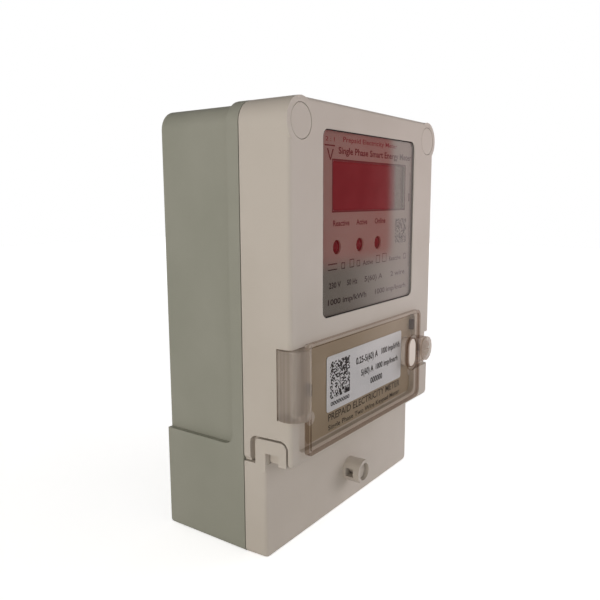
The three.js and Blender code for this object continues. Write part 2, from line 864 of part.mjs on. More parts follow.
function hingePin() {
  const low = hinge.bottom - hinge.anchor + GAP;
  const high = hinge.top + hinge.anchor - GAP;
  return upright(hinge.x, hinge.depth, hinge.pin, low, high);
}

function programButton() {
  const flangeFront = cover.padDepth - GAP;
  const flangeBack = flangeFront - buttonFlange.thickness;
  const wide = button.width + 2 * buttonFlange.border;
  const tall = button.height + 2 * buttonFlange.border;
  return join(
    slab(pill(button.x, button.z, button.width, button.height), flangeBack, button.face),
    slab(pill(button.x, button.z, wide, tall), flangeBack, flangeFront),
    post(button.x, button.z, buttonFlange.rod, flangeBack - buttonFlange.rodLength, flangeBack + GAP),
  );
}

const buttonRodTip = cover.padDepth - GAP - buttonFlange.thickness - buttonFlange.rodLength;

function switchPlunger() {
  const tip = buttonRodTip - GAP / 2;
  return post(button.x, button.z, keySwitch.plunger, tip - keySwitch.plungerLength, tip);
}

function switchBody() {
  const front = mountedOn + keySwitch.height;
  const [x, z, half] = [button.x, button.z, keySwitch.half];
  const box = block(x - half, x + half, mountedOn, front, z - half, z + half);
  return cut(box, post(x, z, keySwitch.bore, front - keySwitch.boreDepth, front + PAST));
}

function buttonSpring() {
  const top = buttonRodTip + buttonFlange.rodLength - button.travel - GAP;
  const barrel = post(button.x, button.z, spring.outer, mountedOn, top);
  return cut(barrel, post(button.x, button.z, spring.inner, mountedOn - PAST, top + PAST));
}

function ratingPlate() {
  const shape = roundedRect(-rating.halfWidth, rating.bottom, rating.halfWidth, rating.top, rating.radius);
  const back = recess.floor + rating.lift;
  return slab(shape, back, back + rating.thickness);
}

// ---------------------------------------------------------------- terminal cover

function terminalCoverPiece() {
  const { face, top, wall, edge } = terminalCover;
  const low = corner.bottom;
  const inside = halfWidth - wall;
  const high = top + low + edge;
  const above = block(-body.width, body.width, 0, body.depth, top, high + PAST);
  const room = roundedRect(-inside, wall, inside, high + PAST, 0.8);
  let housing = cut(
    shell(roundedRect(-halfWidth, 0, halfWidth, high, low), coverBack, face, edge),
    above,
    draftedSlab(room, coverBack - PAST, face - wall),
  );
  for (const side of [-1, 1]) {
    const [a, b] = [side * (halfWidth - tab.thickness), side * halfWidth];
    housing = join(housing, sideBar(tabShape(0), Math.min(a, b), Math.max(a, b)));
  }
  const { x, z, radius } = sealPost;
  const pillarBack = fork.face + GAP;
  const tie = sealPost.tie / 2;
  return cut(
    join(housing, post(x, z, radius, pillarBack, sealPost.face, ROUND_STEPS)),
    post(x, z, sealPost.recess, sealPost.face - sealPost.recessDepth, sealPost.face + PAST),
    post(x, z, sealPost.bore, pillarBack - PAST, sealPost.face),
    block(x - radius - PAST, x, sealPost.tieDepth, sealPost.tieDepth + sealPost.tie, z - tie, z + tie),
  );
}

/** The sealing screw, whose head has a flat on one side that leaves the seal wire a way out of the post. */
function terminalCoverScrew() {
  const { x, z } = sealPost;
  const seat = sealPost.face - sealPost.recessDepth + GAP;
  const front = seat + coverBolt.headHeight;
  const head = post(x, z, coverBolt.headRadius, seat, front);
  const shank = post(x, z, coverBolt.shankRadius, coverBolt.nutDepth, seat + PAST);
  const nut = post(
    x,
    z,
    coverBolt.nutRadius,
    coverBolt.nutDepth,
    coverBolt.nutDepth + coverBolt.nutThickness,
  );
  const reach = coverBolt.headRadius + PAST;
  const floor = seat + coverBolt.headFloor;
  return cut(
    join(head, shank, nut),
    block(x - reach, x - coverBolt.flat, floor, front + PAST, z - reach, z + reach),
  );
}

// ---------------------------------------------------------------- terminal block

/** The fork that the terminal cover's captive screw hooks behind, open below. */
function forkPillar() {
  const { x, z } = sealPost;
  const pillar = block(
    x - fork.halfWidth,
    x + fork.halfWidth,
    block_.face - PAST,
    fork.face,
    fork.bottom,
    fork.top,
  );
  const plateBack = fork.face - fork.plate;
  const low = fork.bottom - PAST;
  const pocket = block(x - fork.pocket, x + fork.pocket, block_.face + GAP, plateBack, low, z + fork.rise);
  const slot = block(x - fork.slot, x + fork.slot, plateBack - PAST, fork.face + PAST, low, z + fork.slot);
  return cut(pillar, pocket, slot);
}

function terminalBlock() {
  const outline_ = roundedRect(-block_.halfWidth, block_.bottom, block_.halfWidth, block_.top, 1);
  let housing = join(slab(outline_, block_.back, block_.face), forkPillar());
  for (const x of mainWays) {
    const [left, right] = [x - way.halfWidth, x + way.halfWidth];
    housing = cut(housing, block(left, right, way.back, block_.face + PAST, block_.bottom - PAST, way.top));
    housing = cut(housing, tonguePassage(x, way.top - PAST, block_.top + PAST));
  }
  for (const x of auxWay.x) {
    const [left, right] = [x - auxWay.halfWidth, x + auxWay.halfWidth];
    housing = cut(
      housing,
      block(left, right, auxWay.back, block_.face + PAST, block_.bottom - PAST, auxWay.top),
    );
  }
  return housing;
}

function mainClamp(x) {
  const cage = block(
    x - clamp.halfWidth,
    x + clamp.halfWidth,
    clamp.back,
    clamp.face,
    clamp.bottom,
    clamp.top,
  );
  const boreFront = clamp.boreBack + 2 * clamp.bore;
  const boreTop = clamp.top - clamp.roof;
  const bore = block(x - clamp.bore, x + clamp.bore, clamp.boreBack, boreFront, clamp.bottom - PAST, boreTop);
  const half = clamp.tongueHalf;
  const tongue = block(x - half, x + half, clamp.tongueBack, tongueFront, boreTop + GAP, clamp.tongueTop);
  const holes = clampScrew.rows.map((z) => post(x, z, clampScrew.hole, boreFront - PAST, clamp.face + PAST));
  return cut(join(cut(cage, bore), tongue), ...holes);
}

function auxiliaryClamp(x) {
  const cage = block(
    x - auxClamp.halfWidth,
    x + auxClamp.halfWidth,
    auxClamp.back,
    auxClamp.face,
    auxClamp.bottom,
    auxClamp.top,
  );
  const boreFront = auxClamp.boreBack + 2 * auxClamp.bore;
  const boreTop = auxClamp.top - auxClamp.roof;
  const bore = block(
    x - auxClamp.bore,
    x + auxClamp.bore,
    auxClamp.boreBack,
    boreFront,
    auxClamp.bottom - PAST,
    boreTop,
  );
  return cut(cage, bore, post(x, auxScrew.z, auxScrew.hole, boreFront - PAST, auxClamp.face + PAST));
}

/** A clamping screw whose head stands just clear of the clamp's face. */
function wireScrew(x, z, face, size) {
  const head = { radius: size.head, height: size.headHeight };
  const shank = { radius: size.shank, length: size.reach + GAP };
  return slottedScrew(x, z, head, face + GAP, shank, { width: size.slot, depth: size.slot });
}

// ---------------------------------------------------------------- relay and current path

const relayMiddle = (relay.left + relay.right) / 2;

const contactX = relay.right - contactArm.inset;

/** A pin that stands on the relay's back wall and carries a part that turns. */
function relayPivot(x, z, front) {
  return post(x, z, relayPin.radius, relay.back + relay.wall - GAP, front + PAST);
}

function relayBody() {
  const { left, right, bottom, top, back, face, wall } = relay;
  const box = block(left, right, back, face, bottom, top);
  const room = block(left + wall, right - wall, back + wall, face + PAST, bottom + wall, top - wall);
  return join(
    cut(box, room, shuntBar(2 * GAP)),
    relayPivot(relayMiddle, rocker.z, rocker.depth + rocker.thickness),
    relayPivot(contactX, contactArm.z, contactArm.depth + contactArm.thickness),
  );
}

function relayCoil() {
  const [left, right] = [relayMiddle - coil.half, relayMiddle + coil.half];
  const core = crossBar(
    relayMiddle - coil.coreHalf,
    relayMiddle + coil.coreHalf,
    coil.depth,
    coil.z,
    coil.core,
  );
  return join(crossBar(left, right, coil.depth, coil.z, coil.radius), core);
}

/** The armature that rocks under the coil, with a finger that presses the contact arm. */
function relayRocker() {
  const [from, to] = [rocker.depth, rocker.depth + rocker.thickness];
  const span = rocker.halfSpan;
  const arm = block(
    relayMiddle - span,
    relayMiddle + span,
    from,
    to,
    rocker.z - rocker.arm,
    rocker.z + rocker.arm,
  );
  const fingerLeft = relayMiddle - span + rocker.finger / 2;
  const fingerTip = contactArm.z + contactArm.blade / 2 + GAP;
  const finger = block(fingerLeft, fingerLeft + 2 * rocker.finger, from, to, fingerTip, rocker.z);
  const hub = post(relayMiddle, rocker.z, rocker.hub, from, to);
  return cut(join(arm, finger, hub), post(relayMiddle, rocker.z, relayPin.bore, from - PAST, to + PAST));
}

function relayContactArm() {
  const [from, to] = [contactArm.depth, contactArm.depth + contactArm.thickness];
  const half = contactArm.blade / 2;
  const { z, length, hub } = contactArm;
  const blade = block(contactX - length, contactX, from, to, z - half, z + half);
  return cut(
    join(post(contactX, z, hub, from, to), blade),
    post(contactX, z, relayPin.bore, from - PAST, to + PAST),
  );
}

/** The measuring strip in front of the first clamp's tongue, grown by a clearance. */
function shuntBar(grow) {
  const x = mainWays[0];
  const half = shunt.halfWidth + grow;
  const from = tongueFront + GAP;
  return block(
    x - half,
    x + half,
    from - grow,
    from + shunt.thickness + grow,
    shunt.bottom - grow,
    shunt.top,
  );
}

function neutralBarPiece() {
  const [, , first, second] = mainWays;
  const half = neutralBar.leg / 2;
  const inner = neutralBar.top - neutralBar.leg;
  const shape = new THREE.Shape();
  shape.moveTo(first - half, neutralBar.bottom);
  shape.lineTo(first + half, neutralBar.bottom);
  shape.lineTo(first + half, inner);
  shape.lineTo(second - half, inner);
  shape.lineTo(second - half, neutralBar.bottom);
  shape.lineTo(second + half, neutralBar.bottom);
  shape.lineTo(second + half, neutralBar.top);
  shape.lineTo(first - half, neutralBar.top);
  const from = tongueFront + GAP;
  return slab(shape, from, from + neutralBar.thickness);
}

function currentTransformer() {
  const z = neutralBar.top - neutralBar.leg / 2;
  const depth = tongueFront + GAP + neutralBar.thickness / 2;
  const [left, right] = [sealPost.x - ring.half, sealPost.x + ring.half];
  const core = crossBar(left, right, depth, z, ring.outer, ROUND_STEPS);
  return cut(core, crossBar(left - PAST, right + PAST, depth, z, ring.inner, ROUND_STEPS));
}

// ---------------------------------------------------------------- main board and what it carries

function mainBoardPlate() {
  const plate = roundedRect(-mainBoard.halfWidth, mainBoard.bottom, mainBoard.halfWidth, mainBoard.top, 1.5);
  const holes = [-1, 1].flatMap((side) =>
    mainBoard.rows.map(
      (z) => post(side * mainBoard.postX, z, boardPost.hole, mainBoard.back - PAST, mainFront + PAST),
    ),
  );
  const cuts = bossPlaces.map(
    ([x, z]) => post(x, z, basePost.radius + GAP, mainBoard.back - PAST, mainFront + PAST),
  );
  return cut(slab(plate, mainBoard.back, mainFront), ...holes, ...cuts);
}

/** A laminated core with a coil former across its middle. */
function powerTransformer() {
  const from = mainFront + GAP;
  const to = from + transformer.height;
  const { left, right, bottom, top, waist } = transformer;
  return join(
    block(left, right, from + waist, to - waist, bottom, top),
    block(left + waist, right - waist, from, to, bottom + waist, top - waist),
  );
}

const smoothingCapacitor = () =>
  post(capacitor.x, capacitor.z, capacitor.radius, mainFront + GAP, mainFront + GAP + capacitor.height);

const backupBattery = () =>
  crossBar(battery.left, battery.right, mainFront + GAP + battery.radius, battery.z, battery.radius);

const radioModule = () =>
  block(radio.left, radio.right, mainFront + GAP, mainFront + GAP + radio.height, radio.bottom, radio.top);

const antennaRod = () =>
  upright(antenna.x, mainFront + GAP + antenna.radius, antenna.radius, antenna.bottom, antenna.top);

// ---------------------------------------------------------------- fasteners

function coverScrewPiece(x, z, seat) {
  const head = { radius: coverScrew.headRadius, height: coverScrew.headHeight };
  const shank = { radius: coverScrew.shankRadius, length: coverScrew.length };
  return slottedScrew(x, z, head, seat, shank, { width: sealScrew.slot, depth: sealScrew.slotDepth });
}

// ---------------------------------------------------------------- assembly

const finish = {
  base: ["#8c9083", 0.6],
  cover: ["#b4aea1", 0.5],
  tinted: ["#7b6a55", 0.15, 0, 0.55],
  clear: ["#e8ecec", 0.05, 0, 0.25],
  black: ["#1d1d1c", 0.6],
  brass: ["#b08d4c", 0.35, 1],
  steel: ["#a9abad", 0.35, 1],
  copper: ["#b06a45", 0.4, 1],
  board: ["#1f5a36", 0.5],
  paper: ["#a8a5a2", 0.7],
  red: ["#5c1014", 0.2],
  rubber: ["#2a2a29", 0.9],
};

piece("base_housing", baseHousing(), ...finish.base);
piece("hanging_hook", hangingHook(), ...finish.steel);
piece("cover_gasket", gasketRing(0, body.seam - gasket.height, coverBack - GAP / 3), ...finish.rubber);
piece("front_cover", frontCover(), ...finish.cover);
piece("window_lens", windowLens(), ...finish.clear);
piece("dial_plate", dialPlate(), ...finish.paper);
piece(
  "display_filter",
  behindAperture(filter.border, filterFront - filter.thickness, filterFront),
  ...finish.red,
);
const moduleFront = mountedOn + module_.thickness;
piece("display_module", behindAperture(module_.border, mountedOn, moduleFront), ...finish.black);
piece("display_board", displayBoardPlate(), ...finish.board);
lamps.x.forEach((x, index) => piece(`indicator_lamp_${index + 1}`, indicatorLamp(x), ...finish.red));

piece("flap", flapPiece(), ...finish.tinted);
piece("flap_hinge_pin", hingePin(), ...finish.steel);
piece("flap_seal_screw", flapSealScrew(), ...finish.tinted);
piece("program_button", programButton(), ...finish.cover);
piece("button_spring", buttonSpring(), ...finish.steel);
piece("switch_body", switchBody(), ...finish.black);
piece("switch_plunger", switchPlunger(), ...finish.black);
piece("rating_plate", ratingPlate(), ...finish.paper);

piece("terminal_cover", terminalCoverPiece(), ...finish.cover);
piece("terminal_cover_screw", terminalCoverScrew(), ...finish.cover);
piece("terminal_block", terminalBlock(), ...finish.black);
mainWays.forEach((x, index) => {
  piece(`terminal_clamp_${index + 1}`, mainClamp(x), ...finish.brass);
  clampScrew.rows.forEach((z, row) => {
    const number = index * clampScrew.rows.length + row + 1;
    piece(`terminal_screw_${number}`, wireScrew(x, z, clamp.face, clampScrew), ...finish.steel);
  });
});
auxWay.x.forEach((x, index) => {
  piece(`signal_clamp_${index + 1}`, auxiliaryClamp(x), ...finish.brass);
  piece(`signal_screw_${index + 1}`, wireScrew(x, auxScrew.z, auxClamp.face, auxScrew), ...finish.steel);
});

piece("relay_body", relayBody(), ...finish.black);
piece("relay_coil", relayCoil(), ...finish.copper);
piece("relay_rocker", relayRocker(), ...finish.paper);
piece("relay_contact_arm", relayContactArm(), ...finish.copper);
piece("shunt_strip", shuntBar(0), ...finish.copper);
piece("neutral_bar", neutralBarPiece(), ...finish.brass);
piece("current_transformer", currentTransformer(), ...finish.black);

piece("main_board", mainBoardPlate(), ...finish.board);
piece("power_transformer", powerTransformer(), ...finish.steel);
piece("smoothing_capacitor", smoothingCapacitor(), ...finish.black);
piece("backup_battery", backupBattery(), ...finish.paper);
piece("radio_module", radioModule(), ...finish.steel);
piece("antenna_rod", antennaRod(), ...finish.copper);

bossPlaces.forEach(([x, z], index) => {
  piece(`cover_screw_${index + 1}`, coverScrewPiece(x, z, boss.seat + GAP), ...finish.steel);
  const cap = post(x, z, plug.radius, boss.plugSeat + GAP, body.depth, ROUND_STEPS);
  piece(`screw_plug_${index + 1}`, cap, ...finish.cover);
});
lowerPlaces.forEach(([x, z], index) => {
  const seat = coverBack + lowerBoss.footThickness + GAP;
  piece(`cover_screw_${index + 3}`, coverScrewPiece(x, z, seat), ...finish.steel);
});

meter.position.y = backPlane;
meter.updateMatrixWorld(true);

export default meter;
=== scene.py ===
"""Prepaid single-phase electricity meter: the finished pieces, their materials and a plain studio."""

import json
import logging
import math
from collections.abc import Callable, Sequence
from dataclasses import dataclass
from enum import Enum
from functools import partial

import bmesh
import bpy
from mathutils import Euler, Matrix, Vector

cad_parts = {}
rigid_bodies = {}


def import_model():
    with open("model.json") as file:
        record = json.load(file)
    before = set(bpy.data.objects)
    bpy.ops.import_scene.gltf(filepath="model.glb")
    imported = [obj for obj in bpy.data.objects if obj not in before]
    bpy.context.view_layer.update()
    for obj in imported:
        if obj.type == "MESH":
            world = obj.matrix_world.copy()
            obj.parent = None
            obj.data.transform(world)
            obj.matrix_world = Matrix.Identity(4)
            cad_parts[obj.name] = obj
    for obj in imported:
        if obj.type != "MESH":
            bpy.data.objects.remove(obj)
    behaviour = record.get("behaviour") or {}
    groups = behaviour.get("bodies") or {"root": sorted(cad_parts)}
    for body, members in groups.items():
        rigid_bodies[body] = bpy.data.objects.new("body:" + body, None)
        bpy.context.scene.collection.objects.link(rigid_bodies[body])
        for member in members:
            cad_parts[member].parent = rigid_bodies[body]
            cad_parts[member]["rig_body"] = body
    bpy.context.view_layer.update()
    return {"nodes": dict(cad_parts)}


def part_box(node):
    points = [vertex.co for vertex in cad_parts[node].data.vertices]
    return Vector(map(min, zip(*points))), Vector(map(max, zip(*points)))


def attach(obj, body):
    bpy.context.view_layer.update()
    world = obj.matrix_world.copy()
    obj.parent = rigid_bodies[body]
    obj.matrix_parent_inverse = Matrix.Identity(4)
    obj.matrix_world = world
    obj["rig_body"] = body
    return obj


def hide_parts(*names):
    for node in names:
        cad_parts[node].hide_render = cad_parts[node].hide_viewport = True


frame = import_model()

logging.basicConfig(level=logging.INFO, format="%(name)s: %(message)s")
log = logging.getLogger("meter")

MM = 0.001
PAST = 1.0
ARC_STEPS = 10
CREASE = 32.0
CAPITAL = 0.69
FILLED = 0.52

Point = tuple[float, float]
Place = tuple[float, float, float]
Box = tuple[float, float, float, float]
Radii = float | Box
Tree = bpy.types.NodeTree
Socket = bpy.types.NodeSocket


# ---------------------------------------------------------------- shader helpers


def linear(code: str) -> tuple[float, float, float, float]:
    """Turns an sRGB hex colour into linear light.

    Args:
        code: Six hex digits, with or without a leading hash.

    Returns:
        Red, green, blue and an alpha of one.
    """
    digits = code.lstrip("#")
    parts = [int(digits[at : at + 2], 16) / 255 for at in (0, 2, 4)]
    light = [part / 12.92 if part <= 0.04045 else ((part + 0.055) / 1.055) ** 2.4 for part in parts]
    return (light[0], light[1], light[2], 1.0)


def add_node(tree: Tree, kind: str, links: dict | None = None, **settings: object) -> bpy.types.Node:
    """Adds one node, sets its properties and sockets and links its inputs.

    Args:
        tree: The shader or geometry tree that gets the node.
        kind: The node's type name.
        links: Input name or index to the output socket that feeds it.
        settings: Property or input names, with spaces as underscores, and their values.

    Returns:
        The new node.
    """
    node = tree.nodes.new(kind)
    for name, value in settings.items():
        if hasattr(node, name):
            setattr(node, name, value)
        else:
            node.inputs[name.replace("_", " ")].default_value = value
    for key, source in (links or {}).items():
        tree.links.new(source, node.inputs[key])
    return node


# ---------------------------------------------------------------- finishes


@dataclass(frozen=True)
class Finish:
    """A named surface finish that builds its material once."""

    name: str
    color: str
    roughness: float = 0.5

    def material(self) -> bpy.types.Material:
        """Returns the finish's material, built on first use."""
        found = bpy.data.materials.get(self.name)
        if found:
            return found
        made = bpy.data.materials.new(self.name)
        made.use_nodes = True
        made.node_tree.nodes.clear()
        shader = self.shade(made.node_tree)
        add_node(made.node_tree, "ShaderNodeOutputMaterial", {"Surface": shader})
        return made

    def shade(self, tree: Tree) -> Socket:
        """Builds the shader and returns its output socket."""
        raise NotImplementedError


def place_noise(tree: Tree, size: float, detail: float = 2.0) -> Socket:
    """Noise on the object's own coordinates.

    Args:
        tree: The shader tree.
        size: The size of one blotch or grain in millimetres.
        detail: How many finer layers it has.

    Returns:
        The noise value's socket.
    """
    place = add_node(tree, "ShaderNodeTexCoord")
    settings = {"Scale": 1 / (size * MM), "Detail": detail}
    noise = add_node(tree, "ShaderNodeTexNoise", {"Vector": place.outputs["Object"]}, **settings)
    return noise.outputs["Fac"]


def tone(tree: Tree, value: Socket, dark: str, light: str, low: float = 0.35, high: float = 0.65) -> Socket:
    """Colours a value between two tones.

    Args:
        tree: The shader tree.
        value: The value's socket.
        dark: The sRGB colour at low and under it.
        light: The sRGB colour at high and over it.
        low: Where the first colour ends.
        high: Where the second colour starts.

    Returns:
        The colour's socket.
    """
    ramp = add_node(tree, "ShaderNodeValToRGB", {"Fac": value})
    ramp.color_ramp.elements[0].position = low
    ramp.color_ramp.elements[0].color = linear(dark)
    ramp.color_ramp.elements[1].position = high
    ramp.color_ramp.elements[1].color = linear(light)
    return ramp.outputs["Color"]


def spread(tree: Tree, value: Socket, low: float, high: float) -> Socket:
    """Maps the middle range of a noise to new limits.

    Args:
        tree: The shader tree.
        value: The noise's socket.
        low: The new lower limit.
        high: The new upper limit.

    Returns:
        The result's socket.
    """
    span = add_node(tree, "ShaderNodeMapRange", {"Value": value})
    for name, number in {"From Min": 0.3, "From Max": 0.7, "To Min": low, "To Max": high}.items():
        span.inputs[name].default_value = number
    return span.outputs["Result"]


def bump(tree: Tree, height: Socket, depth: float, strength: float) -> Socket:
    """Raises a surface by a height pattern.

    Args:
        tree: The shader tree.
        height: The pattern's socket.
        depth: How far the pattern stands up, in millimetres.
        strength: How much of it is used.

    Returns:
        The normal's socket.
    """
    node = add_node(tree, "ShaderNodeBump", {"Height": height}, Strength=strength)
    node.inputs["Distance"].default_value = depth * MM
    return node.outputs["Normal"]


@dataclass(frozen=True)
class MouldedPlastic(Finish):
    """Injection-moulded ABS from a spark-eroded mould: an even matte grain with faint flow clouds."""

    shade_light: str = "#ffffff"
    grain: float = 0.7
    grain_depth: float = 0.02
    cloud: float = 38.0
    specular: float = 0.5

    def shade(self, tree: Tree) -> Socket:
        """Builds the plastic from clouds in the colour and grain in the surface."""
        cloud = place_noise(tree, self.cloud, 3.0)
        grain = place_noise(tree, self.grain, 2.0)
        links = {
            "Base Color": tone(tree, cloud, self.color, self.shade_light),
            "Roughness": spread(tree, grain, self.roughness - 0.06, self.roughness + 0.06),
            "Normal": bump(tree, grain, self.grain_depth, 0.55),
        }
        shader = add_node(tree, "ShaderNodeBsdfPrincipled", links, IOR=1.53)
        shader.inputs["Specular IOR Level"].default_value = self.specular
        return shader.outputs["BSDF"]


@dataclass(frozen=True)
class ClearPlastic(Finish):
    """Injection-moulded polycarbonate: clear or tinted through, glossy, with faint moulding waves.

    clarity is the share of light that goes straight on, as it does through a thin even sheet.
    """

    wave: float = 14.0
    wave_depth: float = 0.006
    haze: float = 0.03
    shadow: str = "#ffffff"
    clarity: float = 0.0

    def shade(self, tree: Tree) -> Socket:
        """Builds the clear plastic; light for shadows passes straight through it, tinted."""
        wave = place_noise(tree, self.wave, 1.0)
        scratch = place_noise(tree, self.wave / 9, 3.0)
        links = {
            "Normal": bump(tree, wave, self.wave_depth, 0.6),
            "Roughness": spread(tree, scratch, self.roughness, self.roughness + self.haze),
        }
        glass = add_node(tree, "ShaderNodeBsdfPrincipled", links, IOR=1.58)
        glass.inputs["Base Color"].default_value = linear(self.color)
        glass.inputs["Transmission Weight"].default_value = 1.0
        through = add_node(tree, "ShaderNodeBsdfTransparent", Color=linear(self.shadow))
        path = add_node(tree, "ShaderNodeLightPath")
        share = add_node(tree, "ShaderNodeMath", {0: path.outputs["Is Shadow Ray"]}, operation="MAXIMUM")
        share.inputs[1].default_value = self.clarity
        parts = {0: share.outputs[0], 1: glass.outputs["BSDF"], 2: through.outputs["BSDF"]}
        return add_node(tree, "ShaderNodeMixShader", parts).outputs["Shader"]


class Compare(Enum):
    """How a coordinate is held against a limit."""

    UNDER = "LESS_THAN"
    OVER = "GREATER_THAN"


@dataclass(frozen=True)
class FlapPlastic(ClearPlastic):
    """Tinted polycarbonate: a thin even leaf that is clear, with a milky knuckle and lug.

    A thin sheet hardly bends light, so what lies under the leaf stays sharp, and only its cut sides look
    darker. The mould is spark-eroded at the knuckle and the lug, where the plastic scatters light; the
    lighter upright streaks on them are painted highlights. knuckle is the leaf's side of the knuckle and its
    foot, and lug is where the lug starts, all in millimetres.
    """

    side: str = "#cfc3ba"
    knuckle: tuple[float, float] = (-45.4, 53.0)
    lug: float = 41.4
    milk: float = 0.35
    milk_color: str = "#dccfc1"
    # The lighter tone of the upright streaks is a painted highlight.
    milk_highlight: str = "#efe5da"
    highlight_streak: float = 0.02
    highlight_streak_size: float = 1.6
    cut_side: Point = (0.45, 0.9)
    shine: float = 0.03
    glow_through: float = 0.35

    def compare(self, tree: Tree, value: Socket, how: Compare, limit: float) -> Socket:
        """Compares a coordinate with a limit.

        Args:
            tree: The shader tree.
            value: The coordinate's socket.
            how: Whether it holds under or over the limit.
            limit: The limit in millimetres.

        Returns:
            One where it holds, else zero.
        """
        node = add_node(tree, "ShaderNodeMath", {0: value}, operation=how.value)
        node.inputs[1].default_value = limit * MM
        return node.outputs[0]

    def thick(self, tree: Tree, place: bpy.types.Node) -> Socket:
        """Returns one on the knuckle and on the lug, and zero on the leaf."""
        parts = add_node(tree, "ShaderNodeSeparateXYZ", {"Vector": place.outputs["Object"]})
        left = self.compare(tree, parts.outputs["X"], Compare.UNDER, self.knuckle[0])
        above = self.compare(tree, parts.outputs["Z"], Compare.OVER, self.knuckle[1])
        knuckle = add_node(tree, "ShaderNodeMath", {0: left, 1: above}, operation="MULTIPLY")
        lug = self.compare(tree, parts.outputs["X"], Compare.OVER, self.lug)
        either = add_node(tree, "ShaderNodeMath", {0: knuckle.outputs[0], 1: lug}, operation="MAXIMUM")
        return either.outputs[0]

    def leaf(self, tree: Tree, place: bpy.types.Node) -> Socket:
        """Builds the thin clear sheet with darker cut sides."""
        normal = add_node(tree, "ShaderNodeSeparateXYZ", {"Vector": place.outputs["Normal"]})
        flat = add_node(tree, "ShaderNodeMath", {0: normal.outputs["Y"]}, operation="ABSOLUTE")
        tint = tone(tree, flat.outputs[0], self.side, self.shadow, *self.cut_side)
        through = add_node(tree, "ShaderNodeBsdfTransparent", {"Color": tint})
        shine = add_node(tree, "ShaderNodeBsdfGlossy", Roughness=self.shine)
        gloss = add_node(tree, "ShaderNodeFresnel", IOR=1.5)
        inner = add_node(tree, "ShaderNodeNewGeometry")
        outer = add_node(tree, "ShaderNodeMath", {1: inner.outputs["Backfacing"]}, operation="SUBTRACT")
        outer.inputs[0].default_value = 1.0
        links = {0: gloss.outputs[0], 1: outer.outputs[0]}
        share = add_node(tree, "ShaderNodeMath", links, operation="MULTIPLY")
        parts = {0: share.outputs[0], 1: through.outputs[0], 2: shine.outputs[0]}
        return add_node(tree, "ShaderNodeMixShader", parts).outputs["Shader"]

    def shade(self, tree: Tree) -> Socket:
        """Builds the leaf, and the milky plastic of the two thick ends."""
        place = add_node(tree, "ShaderNodeTexCoord")
        # Upright streaks lighten the milky ends in stripes: painted highlights.
        upright = add_node(tree, "ShaderNodeMapping", {"Vector": place.outputs["Object"]})
        upright.inputs["Scale"].default_value = (1.0, 1.0, self.highlight_streak)
        settings = {"Scale": 1 / (self.highlight_streak_size * MM), "Detail": 1.0}
        highlight_streak = add_node(tree, "ShaderNodeTexNoise", {"Vector": upright.outputs[0]}, **settings)
        scatter = {"Color": tone(tree, highlight_streak.outputs["Fac"], self.milk_color, self.milk_highlight)}
        lit = add_node(tree, "ShaderNodeBsdfDiffuse", scatter)
        through = add_node(tree, "ShaderNodeBsdfTranslucent", scatter)
        ends = {1: lit.outputs[0], 2: through.outputs[0]}
        milky = add_node(tree, "ShaderNodeMixShader", ends, Fac=self.glow_through)
        ends = {1: super().shade(tree), 2: milky.outputs[0]}
        solid = add_node(tree, "ShaderNodeMixShader", ends, Fac=self.milk)
        parts = {0: self.thick(tree, place), 1: self.leaf(tree, place), 2: solid.outputs[0]}
        return add_node(tree, "ShaderNodeMixShader", parts).outputs["Shader"]


@dataclass(frozen=True)
class PrintedFilm(Finish):
    """Screen-printed polyester film: satin, slightly uneven ink and a fine surface tooth."""

    shade_light: str = "#ffffff"
    cloud: float = 22.0

    def shade(self, tree: Tree) -> Socket:
        """Builds the film."""
        cloud = place_noise(tree, self.cloud, 2.0)
        tooth = place_noise(tree, 0.5, 1.0)
        links = {
            "Base Color": tone(tree, cloud, self.color, self.shade_light),
            "Roughness": spread(tree, tooth, self.roughness - 0.05, self.roughness + 0.05),
            "Normal": bump(tree, tooth, 0.008, 0.4),
        }
        return add_node(tree, "ShaderNodeBsdfPrincipled", links, IOR=1.5).outputs["BSDF"]


@dataclass(frozen=True)
class Metal(Finish):
    """Bare or plated metal: drawn or tumbled, with small changes in gloss."""

    shade_light: str = "#ffffff"
    grain: float = 1.2

    def shade(self, tree: Tree) -> Socket:
        """Builds the metal."""
        grain = place_noise(tree, self.grain, 4.0)
        links = {
            "Base Color": tone(tree, grain, self.color, self.shade_light),
            "Roughness": spread(tree, grain, self.roughness - 0.08, self.roughness + 0.1),
            "Normal": bump(tree, grain, 0.01, 0.3),
        }
        return add_node(tree, "ShaderNodeBsdfPrincipled", links, Metallic=1.0).outputs["BSDF"]


@dataclass(frozen=True)
class DisplayFilter(Finish):
    """Cast acrylic filter: deep red over the digits, smoke grey at its right end.

    The colour changes across the meter at edge, over blend to each side of it, in millimetres.
    """

    light: str = "#7a2a30"
    smoke: str = "#6f675b"
    edge: float = 0.0
    blend: float = 1.2

    def shade(self, tree: Tree) -> Socket:
        """Builds the filter."""
        place = add_node(tree, "ShaderNodeTexCoord")
        parts = add_node(tree, "ShaderNodeSeparateXYZ", {"Vector": place.outputs["Object"]})
        across = add_node(tree, "ShaderNodeMapRange", {"Value": parts.outputs["X"]})
        across.inputs["From Min"].default_value = (self.edge - self.blend) * MM
        across.inputs["From Max"].default_value = (self.edge + self.blend) * MM
        cloud = place_noise(tree, 16.0, 2.0)
        mix = add_node(tree, "ShaderNodeMix", {"Factor": across.outputs["Result"]}, data_type="RGBA")
        tree.links.new(tone(tree, cloud, self.color, self.light), mix.inputs["A"])
        mix.inputs["B"].default_value = linear(self.smoke)
        gloss = spread(tree, cloud, self.roughness, self.roughness + 0.06)
        links = {"Base Color": mix.outputs["Result"], "Roughness": gloss}
        return add_node(tree, "ShaderNodeBsdfPrincipled", links, IOR=1.49).outputs["BSDF"]


